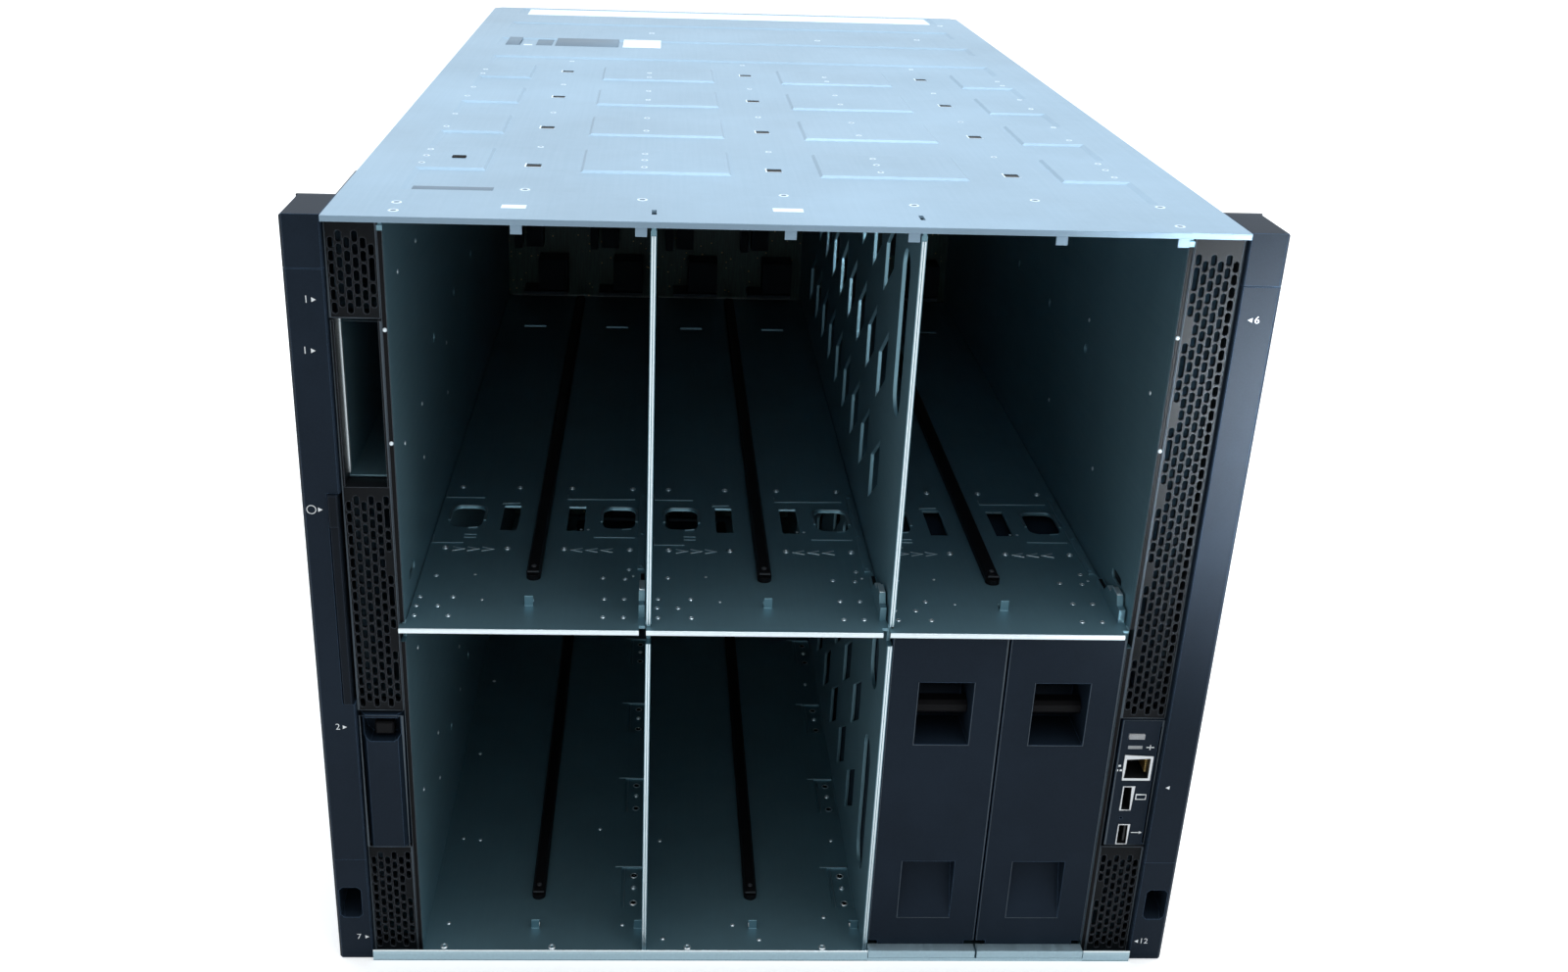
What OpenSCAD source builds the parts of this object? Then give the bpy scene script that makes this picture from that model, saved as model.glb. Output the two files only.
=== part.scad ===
// Blade server chassis: a rack frame of ten units with six full-height device bays,
// shown with its half-height shelves, two bay blanks and one appliance blank.
// Millimetres, +Z up, +X to the right seen from the front, +Y towards the rear.
// Inside the modules Y is counted from the front lip; place() puts the origin in
// the middle of the footprint.

/* [Shell] */
// Width of the steel body between the rack ears
body_w = 443; // [436:1:448]
// Height of the steel body
body_h = 442; // [438:1:446]
// Depth of the steel body
body_d = 794; // [780:1:840]
// Thickness of the cover and side sheets
shell_t = 1.5; // [1.2:0.1:2]
// Thickness of the floor sheet
floor_t = 2; // [1.5:0.1:2.5]
// Distance of the fronts of the modules behind the front lip
setback = 6; // [5:0.5:8]

/* [Device bays] */
// Clear width of one full-width bay
bay_w = 128; // [127.5:0.1:128.6]
// Clear height of the lower bays
lower_bay_h = 215.5; // [214:0.1:220]
// Depth of the bay walls and partitions
bay_d = 584; // [560:1:584]
// Thickness of a partition sheet
partition_t = 2; // [1.5:0.1:2.5]
// Thickness of the walls beside the outer bays
wall_t = 2; // [1.5:0.1:2.5]
// Width of the folded front edge of walls and partitions
hem_w = 2.8; // [2.6:0.1:3.4]
// Thickness of a shelf sheet
shelf_t = 1.5; // [1.2:0.1:2]
// Height of the folded front edge of a shelf
shelf_hem_h = 3; // [2.5:0.1:4]
// Sideways clearance of a shelf in its bay
shelf_gap = 0.6; // [0.4:0.1:1]
// Width of the ledges that carry a shelf
ledge_w = 3; // [2.5:0.1:3.5]

/* [Guide rails] */
// Width of a guide rail
rail_w = 8; // [7:0.5:9]
// Height of a guide rail
rail_h = 5; // [4:0.5:5.5]
// Distance of the rail ends behind the front lip
rail_front = 54; // [45:1:60]
// Height of the upright centring tabs
tab_h = 6; // [5:0.5:6.5]
// Width of the upright centring tabs
tab_w = 4.6; // [4:0.1:5]

/* [Cover embossing] */
// Depth of the pressed field
emboss_depth = 1.2; // [0.8:0.1:1.4]
// Run of the sloping edge of the pressed field
emboss_slope = 3; // [2:0.5:4]
// Spacing of the rows of raised pads
emboss_pitch = 98.5; // [90:0.5:99]
// Distance of the first row of pads behind the front lip
emboss_first = 103; // [98:1:110]
// Length of a raised pad
pad_len = 59; // [50:1:62]
// Width of a closed raised pad
pad_w = 84; // [70:1:86]
// Side of a square vent hole
vent = 8; // [6:0.5:10]

/* [Front grilles] */
// Sideways spacing of the grille holes
cell_w = 3.8; // [3.6:0.1:4.2]
// Vertical spacing of the grille holes
cell_h = 6.5; // [6:0.1:8]
// Width of the bars between the grille holes
bar_w = 0.9; // [0.8:0.1:1.2]
// Thickness of a grille plate
grille_t = 2.5; // [2:0.1:3]
// Depth of a grille moulding
grille_d = 12; // [10:0.5:14]

/* [Appliance bays] */
// Height of an appliance bay
appliance_h = 87; // [84:0.5:88]
// Height of the first appliance bay above the base
appliance_z = 301; // [299:0.5:303]
// Height of the second appliance bay above the base
blank_z = 77.6; // [76:0.1:84]
// Sheet thickness of the appliance sleeves
sleeve_t = 1; // [0.8:0.1:1.2]
// Depth of the appliance sleeves
sleeve_d = 540; // [400:5:545]

/* [Front panel] */
// Height of the connector panel
panel_h = 85; // [84:0.5:86]
// Height of the connector panel above the base
panel_z = 79.3; // [78:0.1:90]

/* [Bay blanks] */
// Width of a bay blank
blank_w = 62.8; // [62:0.1:63.2]
// Height of a bay blank
blank_h = 213.2; // [211:0.1:216.6]
// Depth of a bay blank
blank_d = 170; // [120:5:200]
// Wall thickness of a bay blank
blank_t = 2; // [1.6:0.1:2.5]
// Width of the finger recesses
recess_w = 30.4; // [26:0.2:34]
// Height of the finger recesses
recess_h = 40; // [36:0.5:42]
// Depth of the upper finger recess
recess_d = 30; // [26:1:36]

/* [Rack ears] */
// Width over both ears, as the rack standard sets it
rack_w = 482.6; // [480:0.1:484]
// Depth of the ear bezels
ear_d = 38; // [34:1:42]
// Distance of the ear fronts behind the front lip
ear_front = 2; // [1:0.5:4]
// Height of the ear end caps
cap_h = 26.5; // [24:0.5:32]
// Thickness of the steel rack flange
flange_t = 2; // [1.5:0.1:2.5]
// Distance between the rack holes of the two flanges
rack_hole_span = 465.1; // [464:0.1:466]
// Radius of a rack hole
rack_hole_r = 3.3; // [3:0.1:3.6]
// Height of the rack holes above the base
rack_hole_z = 40; // [38:0.5:46]

/* [Rear] */
// Distance of the midplane board behind the front lip
midplane_y = 590; // [590:1:600]
// Thickness of the midplane board
midplane_t = 4; // [3:0.5:5]
// Depth of the rear cage
cage_d = 150; // [140:1:155]
// Sheet thickness of the rear cage
cage_t = 1.2; // [1:0.1:1.5]
// Height of a power supply
supply_h = 44; // [42:0.5:46]
// Height and width of a fan module
fan_h = 84; // [82:0.5:85]
// Height of an interconnect slot
slot_h = 28.2; // [27:0.1:28.6]
// Radius of the fan duct
duct_r = 39.5; // [36:0.5:40]
// Radius of the fan hub
hub_r = 17; // [14:0.5:20]
// Radius of the fan shaft
shaft_r = 2.5; // [2:0.1:3]
// Number of blades on a fan rotor
blades = 7; // [5:1:9]

/* [Hidden] */
$fn = 48;

steel = [0.69, 0.77, 0.84];
dark_steel = [0.30, 0.36, 0.42];
bezel = [0.17, 0.19, 0.23];
moulding = [0.12, 0.12, 0.13];
black = [0.05, 0.05, 0.06];
silver = [0.80, 0.81, 0.82];

fit = 0.3;                       // running clearance between plain flat faces
half_w = body_w / 2;
in_x = half_w - shell_t;         // inner face of the side sheets
top_z = body_h - shell_t;        // underside of the cover sheet
field_z = top_z - emboss_depth;  // underside of the pressed field
wall_in = 1.5 * bay_w + partition_t;
wall_out = wall_in + wall_t;
bay_pitch = bay_w + partition_t;
bay_back = setback + bay_d;
shelf_under = floor_t + lower_bay_h + shelf_hem_h - shelf_t;
shelf_top = shelf_under + shelf_t;
hem_under = shelf_top - shelf_hem_h;
lip_t = 1.5;                     // extra thickness of the folded front lip
bite = 0.2;                      // overlap of shapes that join into one solid
seam = 0.1;                      // gap between sheets that are riveted together
module_back = body_d - 8;        // rear faces of the fans and supplies

function bay_x(i) = (i - 1) * bay_pitch;
function bay_l(i) = bay_x(i) - bay_w / 2;
function bay_r(i) = bay_x(i) + bay_w / 2;

// ---- shapes shared by several pieces ----

module place() {
  translate([0, -body_d / 2, 0]) children();
}

module box(x0, x1, y0, y1, z0, z1) {
  translate([x0, y0, z0]) cube([x1 - x0, y1 - y0, z1 - z0]);
}

// A box between two distances from the middle, on the left (-1) or right (1)
module side_box(s, x0, x1, y0, y1, z0, z1) {
  box(min(s * x0, s * x1), max(s * x0, s * x1), y0, y1, z0, z1);
}

// An outline drawn in X and Z, extruded along Y
module along_y(y0, y1) {
  translate([0, y1, 0]) rotate([90, 0, 0]) linear_extrude(y1 - y0) children();
}

// An outline drawn in Y and Z, extruded along X
module along_x(x0, x1) {
  translate([x0, 0, 0]) rotate([90, 0, 90]) linear_extrude(x1 - x0) children();
}

// An outline drawn in X and Y, extruded along Z
module along_z(z0, z1) {
  translate([0, 0, z0]) linear_extrude(z1 - z0) children();
}

module rect(a0, a1, b0, b1) {
  translate([a0, b0]) square([a1 - a0, b1 - b0]);
}

// A rectangle with its four corners cut by c
module cut_rect(a0, a1, b0, b1, c) {
  polygon([[a0 + c, b0], [a1 - c, b0], [a1, b0 + c], [a1, b1 - c],
    [a1 - c, b1], [a0 + c, b1], [a0, b1 - c], [a0, b0 + c]]);
}

module round_rect(a0, a1, b0, b1, r) {
  rect(a0 + r, a1 - r, b0, b1);
  rect(a0, a1, b0 + r, b1 - r);
  for (a = [a0 + r, a1 - r], b = [b0 + r, b1 - r]) translate([a, b]) circle(r);
}

// A block with all of its edges bevelled by c
module bevel_block(x0, x1, y0, y1, z0, z1, c) {
  intersection() {
    along_y(y0, y1) cut_rect(x0, x1, z0, z1, c);
    along_x(x0, x1) cut_rect(y0, y1, z0, z1, c);
    along_z(z0, z1) cut_rect(x0, x1, y0, y1, c);
  }
}

// A block whose four sides lean: it is larger by grow at the top than at the bottom
module sloped_block(x0, x1, y0, y1, z0, z1, grow) {
  intersection() {
    along_y(y0 - abs(grow), y1 + abs(grow))
      polygon([[x0, z0], [x1, z0], [x1 + grow, z1], [x0 - grow, z1]]);
    along_x(x0 - abs(grow), x1 + abs(grow))
      polygon([[y0, z0], [y1, z0], [y1 + grow, z1], [y0 - grow, z1]]);
  }
}

// ---- floor, cover and side sheets ----

module centring_tab(x, y, z) {
  box(x - tab_w / 2, x + tab_w / 2, y, y + 1.2, z - bite, z + tab_h);
}

side_tab_in = 2.9;    // middle of the side tabs from the bay's right side
tab_y = 25;
recess_pitch = 93.8;  // spacing of the pressed recesses in the floor
recess_front = 43.7;
recess_len = 37.3;
recess_in = 6;        // middle of the recess holes from the bay's right side
floor_recess = 0.9;   // depth of a recess

module base_pan() {
  color(steel) {
    difference() {
      box(-half_w, half_w, 0, body_d, 0, floor_t);
      for (i = [0:2], x = [bay_x(i), bay_r(i) - side_tab_in])
        box(x - tab_w / 2, x + tab_w / 2, tab_y + 1.2, tab_y + 1.2 + tab_h, -1, floor_t + 1);
      for (i = [0:2], y = [recess_front + 4.8, recess_front + recess_len - 6.4])
        translate([bay_r(i) - recess_in, y, -1]) cylinder(r = 1.6, h = floor_t + 2, $fn = 10);
      for (i = [0:2], y = [recess_front:recess_pitch:bay_back - recess_pitch])
        box(bay_r(i) - 13.6, bay_r(i) - 0.6, y, y + recess_len, floor_t - floor_recess, floor_t + 1);
    }
    for (i = [0:2]) {
      centring_tab(bay_x(i), tab_y, floor_t);
      centring_tab(bay_r(i) - side_tab_in, tab_y, floor_t);
    }
  }
}

field_half = half_w - 31.5;   // half the width of the pressed field
field_front = emboss_first - 45;
edge_pad_x = half_w - 67.5;   // inner edge of the side pads
pad_x = bay_pitch / 2 - 0.5;  // middle of the closed pads
strips = 3;                   // pressed strips behind the rows of pads
strip_len = 36;
rows = floor((body_d - emboss_first + emboss_slope) / emboss_pitch) - strips;

function row_y(i) = emboss_first + i * emboss_pitch;

// The pressed field and strips as one volume; its floor lies at z
module pressed_field(z, h, lean) {
  difference() {
    sloped_block(-field_half, field_half, field_front, row_y(rows) - 2, z, z + h, lean);
    for (i = [0:rows - 1], s = [-1, 1]) {
      sloped_block(s * pad_x - pad_w / 2, s * pad_x + pad_w / 2,
        row_y(i), row_y(i) + pad_len, z - 1, z + h + 1, -lean);
      sloped_block(s * (edge_pad_x + half_w) / 2 - (half_w - edge_pad_x) / 2,
        s * (edge_pad_x + half_w) / 2 + (half_w - edge_pad_x) / 2,
        row_y(i), row_y(i) + pad_len, z - 1, z + h + 1, -lean);
    }
  }
  for (i = [1:strips])
    sloped_block(-field_half - 3, field_half + 3, row_y(rows + i) - strip_len - emboss_slope,
      row_y(rows + i) - emboss_slope, z, z + h, lean);
}

vent_pitch_x = bay_pitch + 1;
vent_first = emboss_first + 17;
vent_pitch_y = emboss_pitch + 6.5;

module vents() {
  for (x = [-1, 0, 1], i = [0:rows - 1])
    translate([x * vent_pitch_x, vent_first + i * vent_pitch_y]) square(vent, center = true);
}

module top_cover() {
  color(steel) {
    difference() {
      union() {
        along_z(top_z, body_h) polygon([[-half_w, 0], [half_w, 0], [half_w, body_d - 6],
          [half_w - 6, body_d], [6 - half_w, body_d], [-half_w, body_d - 6]]);
        pressed_field(field_z, emboss_depth + 0.2, 0);
        box(-half_w, half_w, 0, setback, top_z - lip_t, top_z + 0.1);
      }
      pressed_field(body_h - emboss_depth, emboss_depth * 2, emboss_slope * 2);
      translate([0, 0, field_z - 1]) linear_extrude(10) vents();
      for (s = [-1, 1])
        box(s * bay_pitch / 2 - 1.2, s * bay_pitch / 2 + 1.2, 14, 23, top_z - 5, body_h + 1);
    }
    for (i = [0:2], x = [bay_x(i), bay_r(i) - 5])
      box(x - 2.8, x + 2.8, 0.6, 1.8, top_z - lip_t - 4.5, top_z - lip_t + bite);
  }
}

side_front = setback + grille_d;   // the side sheets start behind the grilles

module side_sheet(s) {
  bead_h = 9;
  color(steel) difference() {
    box(min(s * in_x, s * half_w), max(s * in_x, s * half_w), side_front, body_d, floor_t, top_z);
    for (i = [1:4])
      along_x(s * half_w - 0.5, s * half_w + 0.5)
        round_rect(140, body_d - 60, i * body_h / 5 - bead_h / 2, i * body_h / 5 + bead_h / 2,
          bead_h / 2 - 0.1);
  }
}

// ---- walls and partitions of the device bays ----

hem_d = 5;            // depth of the folded front edges
notch_low = 8;        // height of the gap in the front edge below a shelf

// Ledge under a shelf, riveted to the s side of a sheet face at x
module ledge(s, x) {
  side_box(s, s * x + seam, s * x + ledge_w, setback + 8, bay_back, shelf_under - 2, shelf_under);
}

module front_hems(x) {
  box(x - hem_w / 2, x + hem_w / 2, setback, setback + hem_d, floor_t, hem_under - notch_low);
  box(x - hem_w / 2, x + hem_w / 2, setback, setback + hem_d, shelf_top + 1, field_z - 3);
}

module bay_wall(s) {
  x = s * (wall_in + wall_t / 2);
  color(steel) {
    difference() {
      along_x(x - wall_t / 2, x + wall_t / 2) difference() {
        rect(setback + 1, bay_back, floor_t, top_z);
        rect(-1, setback + hem_d + 1, hem_under - notch_low, shelf_top + 1);
        rect(-1, setback, top_z - lip_t - fit, top_z + 1);
        round_rect(30, 47, shelf_top + 12, shelf_top + 18, 2.9);
        for (y = [150:90:bay_back - 60], z = [floor_t + 58, shelf_top + 110])
          translate([y, z]) circle(3, $fn = 10);
      }
      box(x - 3, x + 3, setback, setback + hem_d, top_z - 3, top_z + 1);
    }
    front_hems(x);
    ledge(-s, s * wall_in);
  }
}

slot_w = 24;          // long slot near the front of a partition
slot_len = 91;
window_w = 30;        // leaning windows of a partition
window_h = 28;
window_drop = 22;
window_pitch_y = 48;
window_pitch_z = 64;
window_front = 84;
window_rear = 60;     // least length of the plain sheet behind the windows

module window(y, z) {
  polygon([[y, z], [y + window_w, z - window_drop], [y + window_w, z - window_drop + window_h],
    [y, z + window_h]]);
}

// Openings of one half of a partition, counted down from its upper edge
module partition_openings(z_top) {
  last = floor((bay_back - window_rear - window_front - window_w) / window_pitch_y);
  for (i = [0:last], k = [0:2])
    window(window_front + i * window_pitch_y, z_top - 42 - k * window_pitch_z);
}

module front_slot(z_top, length) {
  round_rect(32, 32 + slot_w, z_top - length, z_top, slot_w / 2 - 0.1);
}

module partition(s) {
  x = s * bay_pitch / 2;
  color(steel) {
    along_x(x - partition_t / 2, x + partition_t / 2) difference() {
      rect(setback, bay_back, floor_t, field_z);
      rect(-1, setback + hem_d + 1, hem_under - notch_low, shelf_top + 1);
      partition_openings(field_z);
      partition_openings(hem_under);
      front_slot(field_z - 20, slot_len);
      front_slot(hem_under - 20, 37);
      front_slot(hem_under - 92, slot_len);
    }
    front_hems(x);
    for (side = [-1, 1]) ledge(side, x + side * partition_t / 2);
  }
}

// ---- guide rails, shelves and shelf latches ----

module rail(x, z, front) {
  color(black) {
    along_y(front, bay_back - 20) polygon([[x - rail_w / 2, z], [x + rail_w / 2, z],
      [x + rail_w / 2, z + rail_h * 0.6], [x + rail_w / 2 - 1.2, z + rail_h],
      [x - rail_w / 2 + 1.2, z + rail_h], [x - rail_w / 2, z + rail_h * 0.6]]);
    translate([x, front, z]) cylinder(r = rail_w / 2, h = rail_h * 0.6);
  }
}

module floor_rails() {
  for (i = [0:2]) rail(bay_x(i), floor_t, rail_front);
}

shelf_tab_y = 26.5;
shelf_push = 5;       // travel of a shelf towards the rear when it is released
hem_over = 2.2;       // reach of the shelf's front edge over the wall on its left

// Pierced holes near the front corners of a shelf, from its middle and the front lip
shelf_holes = [[-60, 15], [-42, 15], [-60.5, 25.5], [-49, 25.5], [-60, 35.5], [-42, 35.5],
  [-54.5, 60], [40.5, 15], [51.5, 15], [40.5, 35], [51.5, 35], [39, 59], [51.5, 58],
  [53.5, 69.5]];

module shelf(i) {
  x = bay_x(i);
  color(steel) {
    along_z(shelf_under, shelf_top) difference() {
      union() {
        rect(bay_l(i) + shelf_gap, bay_r(i) - shelf_gap, setback - 0.3, bay_back - shelf_push - fit);
        rect(bay_l(i) - hem_over, bay_r(i) - 4, 1, setback);
      }
      for (s = [-1, 1]) {
        round_rect(x + s * 46 - 9.8, x + s * 46 + 9.8, 121.5, 150, 6);
        rect(x + s * 20 - 5.2, x + s * 20 + 5.2, 118, 152);
        rect(x + s * 34 - 9, x + s * 34 + 9, bay_back - 94, bay_back - 88);
      }
      rect(x - tab_w / 2, x + tab_w / 2, shelf_tab_y + 1.2, shelf_tab_y + 1.2 + tab_h);
      for (p = shelf_holes) translate([x + p[0], p[1]]) circle(1.3, $fn = 10);
    }
    box(bay_l(i) - hem_over, bay_r(i) - 4, 1, 3, hem_under, shelf_under + bite);
    centring_tab(x, shelf_tab_y, shelf_top);
  }
}

latch_gap = 0.4;

module shelf_latch(i) {
  color(dark_steel) along_x(bay_r(i) - shelf_gap - 3.8, bay_r(i) - shelf_gap - latch_gap)
    translate([0, shelf_top]) polygon([[14, 0], [58, 0], [58, 4], [44, 4], [40, 9], [33, 9],
      [31, 13], [21, 13], [19, 8], [14, 8]]);
}

// ---- grilles at both sides ----

grille_gap = 0.4;
grille_in = wall_out + grille_gap;
column_w = half_w - grille_in;
cols = floor((column_w - 2) / cell_w);
cell_cut = 0.8;

// Staggered holes between two heights. In the column beside the bays some
// holes run together and some are left out, round the bosses behind them.
module cells(s, z0, z1) {
  n = floor((z1 - z0 - 4) / cell_h - 0.5);
  edge = (column_w - cols * cell_w) / 2;
  for (c = [0:cols - 1], k = [0:n - 1]) {
    inner = c == 0;
    shift = c % 2 == 0 ? 0.5 : 0;
    x = s * (grille_in + edge + (c + 0.5) * cell_w);
    z = z0 + 2 + (k + shift) * cell_h;
    long = inner && k % 7 == 2 && k < n - 1;
    if (!(inner && (k % 7 == 5 || k % 7 == 6)))
      cut_rect(x - (cell_w - bar_w) / 2, x + (cell_w - bar_w) / 2, z + bar_w / 2,
        z + (long ? 2 : 1) * cell_h - bar_w / 2, cell_cut);
  }
}

module grille(s, z0, z1) {
  wall = 1.3;
  a = min(s * grille_in, s * half_w);
  b = max(s * grille_in, s * half_w);
  color(moulding) {
    along_y(setback, setback + grille_t) difference() {
      cut_rect(a, b, z0, z1, 0.5);
      cells(s, z0, z1);
    }
    along_y(setback + grille_t - bite, setback + grille_d) difference() {
      rect(a, b, z0, z1);
      rect(a + wall, b - wall, z0 + wall, z1 - wall);
    }
  }
}

module_gap = 0.7;                        // seam between the mouldings of a side column
bay1_top = appliance_z + appliance_h + 1.5;
bay1_low = appliance_z - 1.5;
bay2_top = blank_z + appliance_h + 1;
grille_top = top_z - lip_t - fit;
grille_low = floor_t + 0.5;

module grille_left_mid() {
  strip = 1.9;
  grille(-1, bay2_top + module_gap, bay1_low);
  color(moulding) for (x = [-half_w, -grille_in - strip])
    box(x, x + strip, setback, setback + grille_d, bay1_low + fit, bay1_top - module_gap);
}

// ---- appliance bays ----

sleeve_l = -in_x;
sleeve_r = -wall_out;

module sleeve(z) {
  color(steel) {
    along_y(side_front, side_front + sleeve_d) difference() {
      rect(sleeve_l, sleeve_r, z - sleeve_t, z + appliance_h + sleeve_t);
      rect(sleeve_l + sleeve_t, sleeve_r - sleeve_t, z, z + appliance_h);
    }
    box(sleeve_l, sleeve_r, side_front + sleeve_d - bite, side_front + sleeve_d + 2,
      z - sleeve_t, z + appliance_h + sleeve_t);
  }
}

module appliance_sleeves() {
  sleeve(appliance_z);
  sleeve(blank_z);
}

octagon_drop = 17;
octagon_d = 9;
blank_l = sleeve_l + sleeve_t + 0.4;
blank_r = sleeve_r - sleeve_t - 0.4;

module appliance_blank() {
  z1 = blank_z + appliance_h + 0.3;
  a = -half_w + 0.6;
  b = -grille_in - 0.6;
  bevel = 3.4;
  color(bezel) difference() {
    union() {
      along_z(blank_z - 0.3, z1) polygon([[a, side_front - 0.5], [a, setback + bevel],
        [a + bevel, setback - 2], [b - bevel, setback - 2], [b, setback + bevel],
        [b, side_front - 0.5]]);
      box(blank_l, blank_r, side_front - 0.5 - bite, side_front + 50, blank_z + 0.4,
        blank_z + appliance_h - 0.4);
    }
    along_y(setback - 3, setback + octagon_d) polygon([[a + 2, z1 - 2], [b - 2, z1 - 2],
      [b - 2, z1 - octagon_drop + 3.5], [b - 5.5, z1 - octagon_drop],
      [a + 5.5, z1 - octagon_drop], [a + 2, z1 - octagon_drop + 3.5]]);
    box(blank_l + blank_t, blank_r - blank_t, side_front + 2, side_front + 51,
      blank_z + 2.4, blank_z + appliance_h - 2.4);
  }
}

latch_travel = 2;

module appliance_latch() {
  z1 = blank_z + appliance_h + 0.3;
  x = (blank_l + blank_r) / 2;
  color(black) bevel_block(x - 5.2, x + 5.2, setback + 1, setback + octagon_d - 0.2,
    z1 - octagon_drop + latch_travel + 0.5, z1 - octagon_drop + latch_travel + 8.5, 1);
}

// ---- information tab ----

tab_z0 = 173;
tab_z1 = 297;
info_t = 5;
info_in = -half_w - 1.4;
info_gap = 0.4;

module info_tab() {
  back = ear_front + ear_d - 4;
  color(bezel) union() {
    along_z(tab_z0, tab_z1) polygon([[info_in - info_t + 0.6, ear_front - 0.8],
      [info_in - 0.6, ear_front - 0.8], [info_in, ear_front], [info_in, back],
      [info_in - info_t, back], [info_in - info_t, ear_front]]);
    bevel_block(info_in - info_t, info_in, 0.4, ear_front + 1, tab_z1 - 18, tab_z1, 0.5);
  }
}

// ---- connector panel ----

panel_l = wall_out + 2.2;
panel_r = half_w;
panel_top = panel_z + panel_h;
button_drop = 11;     // distances of the panel's fittings below its top
light_drop = 18.2;
net_drop = 32;
display_drop = 52.3;
hole_drop = 66;
usb_drop = 77;
button_z = panel_top - button_drop;
light_z = panel_top - light_drop;
net_z = panel_top - net_drop;
display_z = panel_top - display_drop;
usb_z = panel_top - usb_drop;
button_x = panel_l + 9;
net_x = panel_l + 12.5;
display_x = panel_l + 8.8;
usb_x = panel_l + 9.6;

module port(x, z, w, h, gap) {
  rect(x - w / 2 - gap, x + w / 2 + gap, z - h / 2 - gap, z + h / 2 + gap);
}

module front_panel() {
  groove_w = 1.7;
  color(bezel) difference() {
    union() {
      intersection() {
        along_y(setback, setback + 3) cut_rect(panel_l, panel_r, panel_z, panel_top, 0.5);
        along_x(panel_l, panel_r) cut_rect(setback, setback + 10, panel_z, panel_top, 0.6);
      }
      along_y(setback + 3 - bite, setback + grille_d) difference() {
        rect(panel_l, panel_r, panel_z, panel_top);
        rect(panel_l + 1.2, panel_r - groove_w - 0.9, panel_z + 0.8, panel_top - 1.5);
      }
    }
    box(panel_r - groove_w, panel_r + 1, setback - 1, setback + grille_d - 2,
      panel_z + 1.5, panel_top - 4);
    along_y(setback - 1, setback + 4) {
      port(button_x, button_z, 9, 3.4, 0.3);
      port(button_x, light_z, 8, 2, 0);
      port(net_x - 0.4, net_z, 16.4, 16.2, 0.1);
      port(display_x, display_z, 6.4, 16.6, 0.1);
      port(usb_x, usb_z, 6.6, 14, 0.1);
      translate([panel_l + 7.4, panel_top - hole_drop]) circle(0.8, $fn = 10);
    }
  }
}

module uid_button() {
  color("gainsboro") bevel_block(button_x - 4.5, button_x + 4.5, setback - 0.9, setback + 3,
    button_z - 1.7, button_z + 1.7, 0.4);
}

module status_light() {
  color("lightgray") along_y(setback - 0.1, setback + 3) port(button_x, light_z, 8, 2, 0);
}

// A metal socket shell with a closed back
module socket(x, z, w, h, wall, depth) {
  along_y(setback - 0.4, setback + depth) difference() {
    port(x, z, w, h, 0);
    port(x, z, w, h, -wall);
  }
  box(x - w / 2, x + w / 2, setback + depth - bite, setback + depth + 1, z - h / 2, z + h / 2);
}

module front_ports() {
  color(silver) {
    socket(net_x - 0.4, net_z, 16.4, 16.2, 1.6, 16);
    socket(display_x, display_z, 6.4, 16.6, 0.6, 12);
    socket(usb_x, usb_z, 6.6, 14, 0.5, 12);
    box(usb_x + 0.8, usb_x + 2, setback + 1, setback + 12 + bite, usb_z - 5.6, usb_z + 5.6);
  }
}

// ---- half-height bay blanks ----

guide_cut_w = 5.8;
guide_cut_h = 8;
blank_base = floor_t + fit;
recess_drop = 48.5;   // middle of the upper recess below the top of a blank
ramp_rise = 45;       // middle of the lower recess above the foot of a blank
recess_z = blank_base + blank_h - recess_drop;
ramp_z = blank_base + ramp_rise;
ramp_d = 13;

// Two finger recesses, grown by g: an upper pocket and a lower ramp
module recesses(x, g) {
  h = recess_h / 2 + g;
  w = recess_w / 2 + g;
  along_x(x - w, x + w) {
    polygon([[setback - 1, recess_z - h], [setback + recess_d + g, recess_z - h],
      [setback + recess_d + g, recess_z + h - 12], [setback + 4 + g, recess_z + h],
      [setback - 1, recess_z + h]]);
    polygon([[setback - 1, ramp_z - h], [setback + g, ramp_z - h],
      [setback + ramp_d + g, ramp_z + h - 3], [setback + ramp_d + g, ramp_z + h],
      [setback - 1, ramp_z + h]]);
  }
}

module bay_blank(x) {
  l = x - blank_w / 2;
  r = x + blank_w / 2;
  back = setback + blank_d;
  color(bezel) difference() {
    along_y(setback, back) polygon([[l + guide_cut_w, blank_base], [r - guide_cut_w, blank_base],
      [r - guide_cut_w, blank_base + guide_cut_h], [r, blank_base + guide_cut_h],
      [r, blank_base + blank_h - 1], [r - 1, blank_base + blank_h],
      [l + 1, blank_base + blank_h], [l, blank_base + blank_h - 1],
      [l, blank_base + guide_cut_h], [l + guide_cut_w, blank_base + guide_cut_h]]);
    difference() {
      box(l + guide_cut_w + blank_t, r - guide_cut_w - blank_t, setback + 3, back + 1,
        blank_base + blank_t, blank_base + blank_h - blank_t);
      recesses(x, blank_t);
    }
    recesses(x, 0);
  }
}

bar_z = recess_z - 1.5;
bar_drop = 4;

module blank_latch(x) {
  w = recess_w / 2 - 0.4;
  y = setback + 10;
  color(black) along_x(x - w, x + w) polygon([[y, bar_z - 3], [y + 2, bar_z - 5],
    [y + 8, bar_z - 5], [y + 10, bar_z - 3], [y + 10, bar_z + 1], [y + 7, bar_z + 4],
    [y + 2, bar_z + 3], [y, bar_z + 1]]);
}

// ---- rack ears ----

ear_out = rack_w / 2;
ear_in = half_w + fit;
cap_z = body_h - cap_h;
pocket_h = 21;
pocket_w = 12.4;
pocket_x = rack_hole_span / 2;
pocket_d = 24;
ear_t = 2;
foot_top = rack_hole_z + 30;
flange_leg = 60;

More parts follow.
